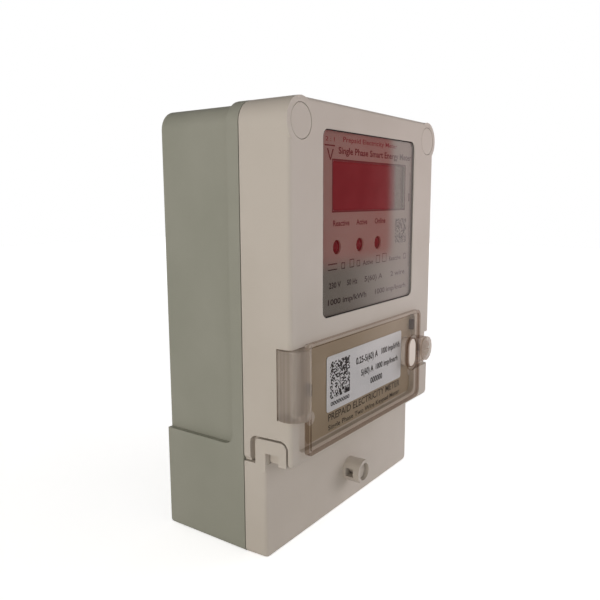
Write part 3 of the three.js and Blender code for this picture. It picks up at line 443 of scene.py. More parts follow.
BASE_ABS = MouldedPlastic("abs_grey_green", "#959587", 0.55, shade_light="#9c9b8e")
COVER_ABS = MouldedPlastic("abs_warm_white", "#c4bbaf", 0.5, shade_light="#cac1b6")
BUTTON_ABS = MouldedPlastic("abs_button_white", "#eadfd3", 0.42, shade_light="#f1e7dc", grain=1.0)
TINTED_PC = FlapPlastic(
    "polycarbonate_brown_tint", "#f3eee8", 0.0, wave_depth=0.0015, haze=0.01, shadow="#fbf9f7", clarity=0.65
)
CLEAR_PC = ClearPlastic("polycarbonate_clear", "#f4f6f4", 0.0, wave=40.0, wave_depth=0.001, haze=0.004)
DIAL_FILM = PrintedFilm("printed_dial_film", "#aca398", 0.38, shade_light="#b3aa9f")
LABEL_FILM = PrintedFilm("satin_silver_label", "#dde3e9", 0.34, shade_light="#e6ebf1")
BLACK_INK = PrintedFilm("black_ink", "#161415", 0.45, shade_light="#262223")
MAROON_INK = PrintedFilm("maroon_ink", "#3b1f23", 0.45, shade_light="#452529")
# Grey ink prints the recess words; the same grey also paints the shade in two small slots by the flap.
GREY_INK_AND_SLOT_SHADE = PrintedFilm("grey_ink_and_slot_shade", "#38322b", 0.5, shade_light="#413b33")
# This black is painted shade: a dark bead that darkens the shadowed gap round the window.
SHADE_BLACK = MouldedPlastic("painted_shade_black", "#1a1817", 0.8, shade_light="#24211f")
RED_FILTER = DisplayFilter("acrylic_red_filter", "#641d24", 0.16, edge=21.0)
RECESS_PRINT = PrintedFilm("khaki_print", "#a3957f", 0.5, shade_light="#aa9c86")
HEADER_INK = PrintedFilm("red_ink", "#7a2f38", 0.45, shade_light="#85363f")
LAMP_EPOXY = MouldedPlastic(
    "diffused_red_epoxy", "#5e0e15", 0.4, shade_light="#6b131a", grain_depth=0.002, specular=0.2
)
BLACK_PBT = MouldedPlastic("black_pbt", "#1c1c1c", 0.5, shade_light="#232323")
RELAY_PBT = MouldedPlastic("charcoal_pbt", "#2b2c2e", 0.45, shade_light="#333437")
EPDM = MouldedPlastic("epdm_rubber", "#181817", 0.85, shade_light="#201f1e", grain=1.1)
SOLDER_RESIST = MouldedPlastic(
    "green_solder_resist", "#1d5a37", 0.35, shade_light="#2a6d45", cloud=4.0, grain_depth=0.01
)
ZINC_STEEL = Metal("zinc_plated_steel", "#a9aaab", 0.34, shade_light="#c3c4c5")
SPRING_STEEL = Metal("drawn_spring_steel", "#8f9091", 0.3, shade_light="#a8a9aa")
CORE_STEEL = Metal("lacquered_laminations", "#4b4d50", 0.5, shade_light="#5e6063")
BRASS = Metal("turned_brass", "#b8934f", 0.32, shade_light="#cba765")
COPPER = Metal("bare_copper", "#b06a45", 0.35, shade_light="#c98059")


# ---------------------------------------------------------------- mesh helpers


PAD_HEIGHT = 1.5
BACK_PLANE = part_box("base_housing")[1].y - PAD_HEIGHT * MM


def forward(depth: float) -> float:
    """Turns a depth in front of the meter's back, in millimetres, into a Y coordinate."""
    return BACK_PLANE - depth * MM


def rounded_rect(x0: float, z0: float, x1: float, z1: float, radii: Radii, inset: float = 0.0) -> list[Point]:
    """An outline with round corners, anticlockwise as seen from the front.

    Args:
        x0: Left side.
        z0: Bottom.
        x1: Right side.
        z1: Top.
        radii: One radius, or bottom left, bottom right, top right and top left.
        inset: How far every side is drawn in.

    Returns:
        Points in millimetres; every call gives the same number of them.
    """
    sizes = (radii,) * 4 if isinstance(radii, (int, float)) else radii
    left, right, low, high = x0 + inset, x1 - inset, z0 + inset, z1 - inset
    corners = ((left, low, 180), (right, low, 270), (right, high, 0), (left, high, 90))
    signs = ((1, 1), (-1, 1), (-1, -1), (1, -1))
    points = []
    for (x, z, start), (sign_x, sign_z), size in zip(corners, signs, sizes):
        radius = max(size - inset, 0.02)
        for step in range(ARC_STEPS + 1):
            angle = math.radians(start + 90 * step / ARC_STEPS)
            centre = (x + sign_x * radius, z + sign_z * radius)
            points.append((centre[0] + radius * math.cos(angle), centre[1] + radius * math.sin(angle)))
    return points


def pill(x: float, z: float, width: float, height: float, inset: float = 0.0) -> list[Point]:
    """An upright slot outline with round ends."""
    return rounded_rect(x - width / 2, z - height / 2, x + width / 2, z + height / 2, width / 2 - 0.01, inset)


def new_object(name: str, mesh: bpy.types.Mesh) -> bpy.types.Object:
    """Puts a mesh into the scene as an object of its own."""
    made = bpy.data.objects.new(name, mesh)
    bpy.context.scene.collection.objects.link(made)
    return made


def loft(name: str, rings: Sequence[Sequence[Vector]]) -> bpy.types.Object:
    """Joins rings of equal length into one closed solid with flat ends.

    Args:
        name: The object's name.
        rings: Rings of points in metres, from one end to the other.

    Returns:
        The new object.
    """
    shape = bmesh.new()
    rows = [[shape.verts.new(point) for point in ring] for ring in rings]
    for first, second in zip(rows, rows[1:]):
        for at in range(len(first)):
            after = (at + 1) % len(first)
            shape.faces.new((first[at], first[after], second[after], second[at]))
    shape.faces.new(list(reversed(rows[0])))
    shape.faces.new(rows[-1])
    bmesh.ops.recalc_face_normals(shape, faces=shape.faces)
    mesh = bpy.data.meshes.new(name)
    shape.to_mesh(mesh)
    shape.free()
    return new_object(name, mesh)


Outline = Callable[[float], list[Point]]


def slab(outline: Outline, back: float, front: float, edge: float = 0.0, steps: int = 4) -> bpy.types.Object:
    """An outline seen from the front, as a solid between two depths with rounded ends.

    Args:
        outline: Gives the outline for an inset in millimetres.
        back: Depth of the back face.
        front: Depth of the front face.
        edge: Radius of the front edge.
        steps: Steps in each rounded edge.

    Returns:
        The new object.
    """
    levels: list[tuple[float, float]] = [(back, 0.0)]
    if edge:
        for step in range(steps + 1):
            angle = math.pi / 2 * step / steps
            levels.append((front - edge * (1 - math.sin(angle)), edge * (1 - math.cos(angle))))
    else:
        levels.append((front, 0.0))
    rings = [[Vector((x * MM, forward(depth), z * MM)) for x, z in outline(inset)] for depth, inset in levels]
    return loft("part", rings)


def cut(first: bpy.types.Object, other: bpy.types.Object) -> bpy.types.Object:
    """Cuts one solid out of another.

    Args:
        first: The solid that stays.
        other: The solid that is cut out, which is used up.

    Returns:
        The first solid.
    """
    step = first.modifiers.new("step", "BOOLEAN")
    step.operation = "DIFFERENCE"
    step.solver = "EXACT"
    step.object = other
    settle(first)
    used = other.data
    bpy.data.objects.remove(other)
    bpy.data.meshes.remove(used)
    return first


def settle(made: bpy.types.Object) -> bpy.types.Object:
    """Turns an object's modifiers into its plain mesh."""
    bpy.context.view_layer.update()
    depsgraph = bpy.context.evaluated_depsgraph_get()
    result = bpy.data.meshes.new_from_object(made.evaluated_get(depsgraph))
    made.modifiers.clear()
    old = made.data
    made.data = result
    bpy.data.meshes.remove(old)
    return made


def tidy_mesh(made: bpy.types.Object, merge: float = 0.004, flat: float = 0.6) -> bpy.types.Object:
    """Merges doubled points and flat faces, so that edges can be rounded evenly."""
    shape = bmesh.new()
    shape.from_mesh(made.data)
    bmesh.ops.remove_doubles(shape, verts=shape.verts, dist=merge * MM)
    bmesh.ops.dissolve_degenerate(shape, edges=shape.edges, dist=merge * MM)
    bmesh.ops.dissolve_limit(shape, angle_limit=math.radians(flat), verts=shape.verts, edges=shape.edges)
    shape.to_mesh(made.data)
    shape.free()
    return made


def soften(made: bpy.types.Object, width: float, segments: int = 2, angle: float = 38.0) -> bpy.types.Object:
    """Rounds a solid's sharp edges.

    Args:
        made: The solid.
        width: Width of the rounding in millimetres.
        segments: Steps in the rounding.
        angle: Edges that turn by more than this many degrees are rounded.

    Returns:
        The same solid.
    """
    tidy_mesh(made)
    edge = made.modifiers.new("edge", "BEVEL")
    edge.width = width * MM
    edge.segments = segments
    edge.limit_method = "ANGLE"
    edge.angle_limit = math.radians(angle)
    edge.use_clamp_overlap = True
    return settle(made)


def publish(
    made: bpy.types.Object, name: str, body: str, finish: Finish | None, nodes: Sequence[str] = ()
) -> bpy.types.Object:
    """Names a finished piece, dresses it and sets it on its body.

    Args:
        made: The piece.
        name: Its name in the model.
        body: The body it moves with.
        finish: Its material, or none if it has one already.
        nodes: The solids that it stands for.

    Returns:
        The piece.
    """
    made.name = name
    made.data.name = name
    for face in made.data.polygons:
        face.use_smooth = True
    made.data.set_sharp_from_angle(angle=math.radians(CREASE))
    even = made.modifiers.new("even", "WEIGHTED_NORMAL")
    even.keep_sharp = True
    even.weight = 90
    settle(made)
    if finish:
        made.data.materials.clear()
        made.data.materials.append(finish.material())
    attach(made, body)
    if nodes:
        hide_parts(*nodes)
    log.info("%s: %d faces on %s", name, len(made.data.polygons), body)
    return made


HOUSING = "housing"


def refined(node: str, edge: float, segments: int = 2, angle: float = 38.0) -> bpy.types.Object:
    """Copies a solid of the frame, merges it and rounds its edges.

    Args:
        node: The solid's name.
        edge: Width of the rounding in millimetres.
        segments: Steps in the rounding.
        angle: Edges that turn by more than this many degrees are rounded.

    Returns:
        A new object; the frame's own solid is left as it is.
    """
    copied = new_object(node, frame["nodes"][node].data.copy())
    return soften(copied, edge, segments, angle)


def stand_for(node: str, finish: Finish, edge: float, name: str = "", segments: int = 2) -> bpy.types.Object:
    """Makes the finished piece that stands for one solid of the frame.

    Args:
        node: The solid's name.
        finish: The piece's material.
        edge: Width of its edge rounding in millimetres.
        name: The piece's name, if it isn't the solid's name with "_piece" after it.
        segments: Steps in the rounding.

    Returns:
        The finished piece.
    """
    body = frame["nodes"][node]["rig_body"]
    return publish(refined(node, edge, segments), name or f"{node}_piece", body, finish, [node])


# ---------------------------------------------------------------- geometry nodes


class Kind(Enum):
    """What an input of a geometry tree takes."""

    COUNT = "NodeSocketInt"
    LENGTH = "NodeSocketFloat"
    PLACE = "NodeSocketVector"
    MATERIAL = "NodeSocketMaterial"


def new_tree(name: str, inputs: dict[str, Kind]) -> tuple[Tree, bpy.types.Node]:
    """Starts a geometry tree with its named inputs.

    Args:
        name: The tree's name.
        inputs: The inputs after the geometry itself, by name.

    Returns:
        The tree and its input node.
    """
    tree = bpy.data.node_groups.new(name, "GeometryNodeTree")
    tree.interface.new_socket("Geometry", in_out="INPUT", socket_type="NodeSocketGeometry")
    for entry, kind in inputs.items():
        tree.interface.new_socket(entry, in_out="INPUT", socket_type=kind.value)
    tree.interface.new_socket("Geometry", in_out="OUTPUT", socket_type="NodeSocketGeometry")
    return tree, tree.nodes.new("NodeGroupInput")


def end_tree(tree: Tree, given: bpy.types.Node, shape: Socket) -> None:
    """Ends a geometry tree with real geometry and its material.

    Args:
        tree: The tree.
        given: The tree's input node, which has a Material input.
        shape: The geometry to end with.
    """
    real = add_node(tree, "GeometryNodeRealizeInstances", {"Geometry": shape})
    links = {"Geometry": real.outputs[0], "Material": given.outputs["Material"]}
    dressed = add_node(tree, "GeometryNodeSetMaterial", links)
    add_node(tree, "NodeGroupOutput", {0: dressed.outputs[0]})


def grow(made: bpy.types.Object, tree: Tree, values: dict[str, object]) -> bpy.types.Object:
    """Runs a geometry tree on an object and keeps the result as its plain mesh.

    Args:
        made: The object that the tree starts from.
        tree: The tree.
        values: The tree's inputs by name.

    Returns:
        The same object.
    """
    step = made.modifiers.new(tree.name, "NODES")
    step.node_group = tree
    for item in tree.interface.items_tree:
        if item.item_type == "SOCKET" and item.in_out == "INPUT" and item.name in values:
            step[item.identifier] = values[item.name]
    return settle(made)


def bead_tree() -> Tree:
    """A round bead swept along the object's own edges."""
    found = bpy.data.node_groups.get("bead")
    if found:
        return found
    tree, given = new_tree("bead", {"Radius": Kind.LENGTH, "Material": Kind.MATERIAL})
    path = add_node(tree, "GeometryNodeMeshToCurve", {"Mesh": given.outputs["Geometry"]})
    links = {"Radius": given.outputs["Radius"]}
    ring = add_node(tree, "GeometryNodeCurvePrimitiveCircle", links, Resolution=10)
    links = {"Curve": path.outputs[0], "Profile Curve": ring.outputs[0]}
    swept = add_node(tree, "GeometryNodeCurveToMesh", links)
    smooth = add_node(tree, "GeometryNodeSetShadeSmooth", {0: swept.outputs[0]})
    end_tree(tree, given, smooth.outputs[0])
    return tree


def bead(outline: Sequence[Point], depth: float, radius: float, finish: Finish) -> bpy.types.Object:
    """A soft bead that follows a closed outline.

    Args:
        outline: The path, seen from the front, in millimetres.
        depth: Depth of the bead's middle.
        radius: The bead's radius.
        finish: Its material.

    Returns:
        The bead as a plain mesh.
    """
    mesh = bpy.data.meshes.new("bead")
    count = len(outline)
    edges = [(at, (at + 1) % count) for at in range(count)]
    mesh.from_pydata([(x * MM, forward(depth), z * MM) for x, z in outline], edges, [])
    return grow(new_object("bead", mesh), bead_tree(), {"Radius": radius * MM, "Material": finish.material()})


def code_tree() -> Tree:
    """A square block of printed cells, some filled and some bare."""
    found = bpy.data.node_groups.get("code_block")
    if found:
        return found
    inputs = {
        "Cells": Kind.COUNT,
        "Cell": Kind.LENGTH,
        "Place": Kind.PLACE,
        "Seed": Kind.COUNT,
        "Material": Kind.MATERIAL,
    }
    tree, given = new_tree("code_block", inputs)
    links = {0: given.outputs["Cells"], 1: given.outputs["Cell"]}
    span = add_node(tree, "ShaderNodeMath", links, operation="MULTIPLY")
    sides = {"Size X": span.outputs[0], "Size Y": span.outputs[0]}
    counts = {"Vertices X": given.outputs["Cells"], "Vertices Y": given.outputs["Cells"]}
    grid = add_node(tree, "GeometryNodeMeshGrid", {**sides, **counts})
    chance = add_node(tree, "FunctionNodeRandomValue", {"Seed": given.outputs["Seed"]}, data_type="BOOLEAN")
    links = {"Size X": given.outputs["Cell"], "Size Y": given.outputs["Cell"]}
    cell = add_node(tree, "GeometryNodeMeshGrid", links, Vertices_X=2, Vertices_Y=2)
    chance.inputs["Probability"].default_value = FILLED
    pieces = {"Points": grid.outputs["Mesh"], "Instance": cell.outputs["Mesh"]}
    tiles = add_node(tree, "GeometryNodeInstanceOnPoints", pieces)
    tree.links.new([out for out in chance.outputs if out.enabled][0], tiles.inputs["Selection"])
    links = {"Geometry": tiles.outputs[0], "Translation": given.outputs["Place"]}
    placed = add_node(tree, "GeometryNodeTransform", links)
    placed.inputs["Rotation"].default_value = Euler((math.pi / 2, 0, 0))
    end_tree(tree, given, placed.outputs[0])
    return tree


@dataclass(frozen=True)
class CodeSizes:
    """A printed block: its middle, side in millimetres, cells along a side and the seed that fills them."""

    x: float
    z: float
    size: float
    cells: int
    seed: int


def code_block(sizes: CodeSizes, depth: float, finish: Finish) -> bpy.types.Object:
    """A printed block of cells with no meaning, as a stand-in for a scannable code.

    Args:
        sizes: Its place, size and cells.
        depth: Depth of the print.
        finish: The ink.

    Returns:
        The block as a plain mesh.
    """
    start = new_object("code", bpy.data.meshes.new("code"))
    values = {
        "Cells": sizes.cells,
        "Cell": sizes.size / sizes.cells * MM,
        "Place": (sizes.x * MM, forward(depth), sizes.z * MM),
        "Seed": sizes.seed,
        "Material": finish.material(),
    }
    return grow(start, code_tree(), values)


# ---------------------------------------------------------------- printing


@dataclass(frozen=True)
class TextLine:
    """A printed line: its words, left and right ends, foot and capital height in millimetres.

    weight thickens the strokes, as a share of the letters' size.
    """

    words: str
    left: float
    right: float
    foot: float
    height: float
    weight: float = 0.012


def letters(line: TextLine, depth: float) -> bpy.types.Object:
    """Builds one printed line as a flat mesh just over a surface.

    Args:
        line: The line.
        depth: Depth of the print's face.

    Returns:
        The line as a plain mesh.
    """
    curve = bpy.data.curves.new("line", "FONT")
    curve.body = line.words
    curve.size = 1.0
    curve.offset = line.weight
    curve.resolution_u = 3
    written = bpy.data.objects.new("line", curve)
    bpy.context.scene.collection.objects.link(written)
    bpy.context.view_layer.update()
    mesh = bpy.data.meshes.new_from_object(written.evaluated_get(bpy.context.evaluated_depsgraph_get()))
    bpy.data.objects.remove(written)
    bpy.data.curves.remove(curve)
    across = [vertex.co.x for vertex in mesh.vertices]
    scale_x = (line.right - line.left) / (max(across) - min(across))
    scale_z = line.height / CAPITAL
    low = min(across)
    for vertex in mesh.vertices:
        x = line.left + (vertex.co.x - low) * scale_x
        z = line.foot + vertex.co.y * scale_z
        vertex.co = (x * MM, forward(depth), z * MM)
    return new_object("line", mesh)


def stroke(x0: float, z0: float, x1: float, z1: float, depth: float) -> bpy.types.Object:
    """A filled rectangle of ink between two corners at one depth."""
    mesh = bpy.data.meshes.new("stroke")
    corners = [(x0, z0), (x1, z0), (x1, z1), (x0, z1)]
    mesh.from_pydata([(x * MM, forward(depth), z * MM) for x, z in corners], [], [(0, 1, 2, 3)])
    return new_object("stroke", mesh)


def patch(outline: Sequence[Point], depth: float) -> bpy.types.Object:
    """A filled outline of ink at one depth."""
    mesh = bpy.data.meshes.new("patch")
    mesh.from_pydata([(x * MM, forward(depth), z * MM) for x, z in outline], [], [tuple(range(len(outline)))])
    return new_object("patch", mesh)


def merged(name: str, pieces: Sequence[bpy.types.Object]) -> bpy.types.Object:
    """Puts several meshes into one object.

    Args:
        name: The new object's name.
        pieces: The meshes, which are used up.

    Returns:
        The new object.
    """
    shape = bmesh.new()
    for piece in pieces:
        shape.from_mesh(piece.data)
        used = piece.data
        bpy.data.objects.remove(piece)
        bpy.data.meshes.remove(used)
    mesh = bpy.data.meshes.new(name)
    shape.to_mesh(mesh)
    shape.free()
    return new_object(name, mesh)


# ---------------------------------------------------------------- base


@dataclass(frozen=True)
class BaseSizes:
    """Edge radii of the base and the pieces on its back, in millimetres."""

    edge: float = 0.45
    hook_edge: float = 0.05
    seal_radius: float = 0.62
    seal_corners: Box = (1.0, 1.0, 5.7, 5.7)


class Base:
    """The grey base box, the plate it hangs from and the seal round its rim."""

    def __init__(self, sizes: BaseSizes = BaseSizes()) -> None:
        """Keeps the sizes."""
        self.sizes = sizes

    def build(self) -> None:
        """Builds and dresses every piece of the base."""
        stand_for("base_housing", BASE_ABS, self.sizes.edge, segments=3)
        stand_for("hanging_hook", ZINC_STEEL, self.sizes.hook_edge)
        self.seal()

    def seal(self) -> None:
        """Builds the rubber cord that lies in the rim's groove."""
        low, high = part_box("cover_gasket")
        inset = self.sizes.seal_radius
        sides = (low.x / MM, low.z / MM, high.x / MM, high.z / MM)
        outline = rounded_rect(*sides, self.sizes.seal_corners, inset)
        middle = (BACK_PLANE - (low.y + high.y) / 2) / MM
        cord = bead(outline, middle, inset, EPDM)
        publish(cord, "cover_seal_cord", HOUSING, None, ["cover_gasket"])


# ---------------------------------------------------------------- front cover


@dataclass(frozen=True)
class CoverSizes:
    """Sizes of the cover's edges, its window and the bead round it, in millimetres."""

    edge: float = 0.4
    window: Box = (-35.4, 85.3, 35.4, 150.8)
    window_radius: float = 3.0
    bead_depth: float = 57.35
    bead_radius: float = 0.3
    lens_edge: float = 0.25
    plug_edge: float = 0.25


class FrontCover:
    """The off-white front cover, its window and the plugs over its two upper screws."""

    def __init__(self, sizes: CoverSizes = CoverSizes()) -> None:
        """Keeps the sizes."""
        self.sizes = sizes

    def build(self) -> None:
        """Builds and dresses every piece of the cover."""
        stand_for("front_cover", COVER_ABS, self.sizes.edge, segments=3)
        for node in ("screw_plug_1", "screw_plug_2"):
            stand_for(node, COVER_ABS, self.sizes.plug_edge)
        stand_for("window_lens", CLEAR_PC, self.sizes.lens_edge)
        self.window_shade_bead()

    def window_shade_bead(self) -> None:
        """Builds a dark bead round the window's edge, as painted shade where the gap between lens and cover
        lies in shadow.
        """
        outline = rounded_rect(*self.sizes.window, self.sizes.window_radius, self.sizes.bead_radius * 0.6)
        made = bead(outline, self.sizes.bead_depth, self.sizes.bead_radius, SHADE_BLACK)
        publish(made, "window_shade_bead", HOUSING, None)


# ---------------------------------------------------------------- dial


@dataclass(frozen=True)
class DialSizes:
    """Where the dial's print and its raised edges lie, in millimetres."""

    edge: float = 0.1
    face: float = 56.2
    print_lift: float = 0.03
    aperture: Box = (-27.5, 123.1, 28.3, 140.4)
    frame_width: float = 0.7
    filter_edge: float = 0.15
    module_edge: float = 0.3
    lamp_edge: float = 0.5
    box_foot: float = 101.8
    box_stroke: float = 0.34
    code: CodeSizes = CodeSizes(25.4, 113.9, 9.6, 21, 7)


HEADER_LINES = (
    TextLine("Prepaid Electricity Meter", -21.0, 21.0, 147.3, 1.7),
    TextLine("2 : 1", -32.4, -26.6, 147.0, 1.4),
)

DIAL_LINES = (
    TextLine("Single Phase Smart Energy Meter", -24.0, 34.0, 143.0, 2.3, 0.024),
    TextLine("Reactive", -27.4, -16.2, 117.6, 2.0, 0.022),
    TextLine("Active", -11.2, -3.0, 117.6, 2.0, 0.022),
    TextLine("Online", 3.0, 11.8, 117.6, 2.0, 0.022),
    TextLine("Active", -6.0, 2.0, 101.9, 1.8, 0.02),
    TextLine("Reactive", 15.6, 26.0, 101.9, 1.8, 0.02),
    TextLine("230 V", -30.0, -22.0, 95.4, 2.0, 0.02),
    TextLine("50 Hz", -17.6, -10.0, 95.4, 2.0, 0.02),
    TextLine("5(60) A", -4.6, 10.0, 95.4, 2.0, 0.02),
    TextLine("2 wire", 17.0, 30.0, 95.4, 2.0, 0.02),
    TextLine("1000 imp/kWh", -30.6, -3.0, 89.4, 2.0, 0.02),
    TextLine("1000 imp/kvarh", 4.0, 31.0, 89.4, 2.0, 0.02),
)

RULES: tuple[Box, ...] = (
    (-33.0, 145.3, -26.4, 145.75),
    (33.2, 98.0, 33.5, 138.0),
    (32.2, 126.0, 33.2, 129.4),
    (-30.6, 103.9, -24.6, 104.3),
    (-30.6, 101.9, -24.6, 102.3),
)

SCALE_MARK: tuple[tuple[Point, ...], ...] = (
    ((-29.6, 140.6), (-29.0, 140.6), (-27.2, 144.4), (-28.0, 144.4)),
    ((-29.6, 140.6), (-29.0, 140.6), (-30.8, 144.4), (-31.6, 144.4)),
)

BOXES: tuple[Point, ...] = ((-21.6, 2.4), (-15.8, 3.2), (-10.6, 2.4), (4.4, 3.2), (9.6, 3.6), (28.6, 2.4))


class Dial:
    """The printed dial plate behind the window with its display and lamps."""

    def __init__(self, sizes: DialSizes = DialSizes()) -> None:
        """Keeps the sizes."""
        self.sizes = sizes

    def build(self) -> None:
        """Builds and dresses every piece of the dial."""
        stand_for("dial_plate", DIAL_FILM, self.sizes.edge)
        stand_for("display_filter", RED_FILTER, self.sizes.filter_edge)
        stand_for("display_module", BLACK_PBT, self.sizes.module_edge)
        for number in (1, 2, 3):
            stand_for(f"indicator_lamp_{number}", LAMP_EPOXY, self.sizes.lamp_edge, segments=4)
        self.print_face()

    def print_face(self) -> None:
        """Prints the words, the frame round the display and the blank code."""
        depth = self.sizes.face + self.sizes.print_lift
        words = merged("dial_words", [letters(line, depth) for line in DIAL_LINES])
        publish(words, "dial_words", HOUSING, MAROON_INK)
        header = merged("dial_header", [letters(line, depth) for line in HEADER_LINES])
        publish(header, "dial_header", HOUSING, HEADER_INK)
        publish(self.marks(depth), "dial_marks", HOUSING, MAROON_INK)
        code = code_block(self.sizes.code, depth, BLACK_INK)
        publish(code, "dial_code", HOUSING, None)

    def marks(self, depth: float) -> bpy.types.Object:
        """Draws the display's border, a scale mark and small square symbols.

        Args:
            depth: Depth of the print.

        Returns:
            The marks in one mesh.
        """
        left, low, right, high = self.sizes.aperture
        width = self.sizes.frame_width
        strokes = [
            stroke(left - width, low - width, right + width, low, depth),
            stroke(left - width, high, right + width, high + width, depth),
            stroke(left - width, low, left, high, depth),
            stroke(right, low, right + width, high, depth),
        ]
        strokes += [stroke(*sides, depth) for sides in RULES]
        strokes += [patch(outline, depth) for outline in SCALE_MARK]
        for x, size in BOXES:
            strokes += self.outline_box(x, size, depth)
        return merged("dial_marks", strokes)

    def outline_box(self, x: float, size: float, depth: float) -> list[bpy.types.Object]:
        """Four strokes round a square symbol.

        Args:
            x: Its left side.
            size: Its side.
            depth: Depth of the print.

        Returns:
            The strokes.
        """
        z, width = self.sizes.box_foot, self.sizes.box_stroke
        return [
            stroke(x, z, x + size, z + width, depth),
            stroke(x, z + size - width, x + size, z + size, depth),
            stroke(x, z + width, x + width, z + size - width, depth),
            stroke(x + size - width, z + width, x + size, z + size - width, depth),
        ]


# ---------------------------------------------------------------- flap and key


@dataclass(frozen=True)
class FlapSizes:
    """Edges of the flap's pieces and places of the print under it, in millimetres."""

    edge: float = 0.3
    pin_edge: float = 0.1
    screw_edge: float = 0.25
    button_edge: float = 0.6
    label_edge: float = 0.05
    label_face: float = 56.32
    floor: float = 56.0
    print_lift: float = 0.04
    print_area: Box = (-43.4, 40.9, 39.4, 76.2)
    print_corner: float = 2.4
    print_thickness: float = 0.02
    key_hole: Point = (8.4, 13.6)
    # The two small dark blocks placed here are painted shade for two shadowed slots.
    slot_shades: tuple[Box, Box] = ((-43.2, 59.0, -41.9, 63.6), (38.0, 69.2, 39.2, 73.8))
    slot_shade_corner: float = 0.4
    slot_shade_face: float = 58.0
    slot_shade_edge: float = 0.2
    code: CodeSizes = CodeSizes(-20.8, 60.8, 13.6, 25, 3)


LABEL_LINES = (
    TextLine("00000000", -27.4, -14.0, 51.0, 1.5, 0.02),
    TextLine("0.25-5(60) A", -9.0, 8.6, 63.0, 2.6, 0.024),
    TextLine("1000 imp/kWh", 11.6, 28.4, 63.2, 2.4, 0.024),
    TextLine("5(60) A", -5.0, 5.0, 57.6, 2.4, 0.024),
    TextLine("1000 imp/kvarh", 7.0, 26.6, 57.6, 2.3, 0.024),
    TextLine("000000", 2.6, 12.6, 52.6, 2.4, 0.024),
)

FLOOR_LINES = (
    TextLine("PREPAID ELECTRICITY METER", -28.6, 29.6, 45.4, 2.7, 0.014),
    TextLine("Single Phase Two Wire Keypad Meter", -28.6, 29.6, 41.9, 1.9, 0.02),
)


class Flap:
    """The tinted flap on its pin, its lug with the sealing screw, and what lies under it."""

    def __init__(self, sizes: FlapSizes = FlapSizes()) -> None:
        """Keeps the sizes."""
        self.sizes = sizes

    def build(self) -> None:
        """Builds and dresses every piece of the flap and the recess under it."""
        stand_for("flap", TINTED_PC, self.sizes.edge)
        stand_for("flap_hinge_pin", ZINC_STEEL, self.sizes.pin_edge)
        stand_for("flap_seal_screw", TINTED_PC, self.sizes.screw_edge)
        stand_for("program_button", BUTTON_ABS, self.sizes.button_edge, segments=4)
        stand_for("rating_plate", LABEL_FILM, self.sizes.label_edge)
        self.print_label()
        self.print_floor()
        self.slot_shades()

    def slot_shades(self) -> None:
        """Builds two small dark blocks, as painted shade where two small slots lie in shadow."""
        pieces = [self.slot_shade(sides) for sides in self.sizes.slot_shades]
        publish(merged("flap_slot_shades", pieces), "flap_slot_shades", HOUSING, GREY_INK_AND_SLOT_SHADE)

    def slot_shade(self, sides: Box) -> bpy.types.Object:
        """Builds one dark block of painted slot shade.

        Args:
            sides: Its left side, foot, right side and top.

        Returns:
            The block.
        """
        sizes = self.sizes
        outline = partial(rounded_rect, *sides, sizes.slot_shade_corner)
        return slab(outline, sizes.floor, sizes.slot_shade_face, sizes.slot_shade_edge)

    def print_label(self) -> None:
        """Prints the label's rows and its blank code."""
        depth = self.sizes.label_face + self.sizes.print_lift
        words = merged("label_words", [letters(line, depth) for line in LABEL_LINES])
        publish(words, "label_words", HOUSING, BLACK_INK)
        code = code_block(self.sizes.code, depth, BLACK_INK)
        publish(code, "label_code", HOUSING, None)

    def print_floor(self) -> None:
        """Prints the two rows under the label, straight on the cover."""
        sizes = self.sizes
        depth = sizes.floor + sizes.print_lift
        words = merged("recess_words", [letters(line, depth) for line in FLOOR_LINES])
        publish(words, "recess_words", HOUSING, GREY_INK_AND_SLOT_SHADE)
        outline = partial(rounded_rect, *sizes.print_area, sizes.print_corner)
        area = slab(outline, sizes.floor, sizes.floor + sizes.print_thickness)
        low, high = (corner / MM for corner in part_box("program_button"))
        middle = (low + high) / 2
        opening = partial(pill, middle.x, middle.z, *sizes.key_hole)
        hole = slab(opening, sizes.floor - PAST, sizes.floor + PAST)
        publish(cut(area, hole), "recess_print", HOUSING, RECESS_PRINT)


# ---------------------------------------------------------------- terminals


@dataclass(frozen=True)
class TerminalSizes:
    """Edges of the terminal cover and what it hides, in millimetres."""

    cover_edge: float = 0.45
    screw_edge: float = 0.2
    block_edge: float = 0.3
    clamp_edge: float = 0.2
    signal_edge: float = 0.03


class Terminals:
    """The terminal cover with its sealing screw, and the terminal block behind it."""

    def __init__(self, sizes: TerminalSizes = TerminalSizes()) -> None:
        """Keeps the sizes."""
        self.sizes = sizes

    def build(self) -> None:
        """Builds and dresses the terminal cover, block, clamps and screws."""
        stand_for("terminal_cover", COVER_ABS, self.sizes.cover_edge, segments=3)
        stand_for("terminal_cover_screw", COVER_ABS, self.sizes.screw_edge)
        stand_for("terminal_block", BLACK_PBT, self.sizes.block_edge)
        stand_for("neutral_bar", BRASS, self.sizes.clamp_edge)
        for number in range(1, 5):
            stand_for(f"terminal_clamp_{number}", BRASS, self.sizes.clamp_edge)
        for number in range(1, 9):
            stand_for(f"terminal_screw_{number}", ZINC_STEEL, self.sizes.screw_edge)
        for number in range(1, 4):
            stand_for(f"signal_clamp_{number}", BRASS, self.sizes.signal_edge)
            stand_for(f"signal_screw_{number}", ZINC_STEEL, self.sizes.screw_edge)


# ---------------------------------------------------------------- inside


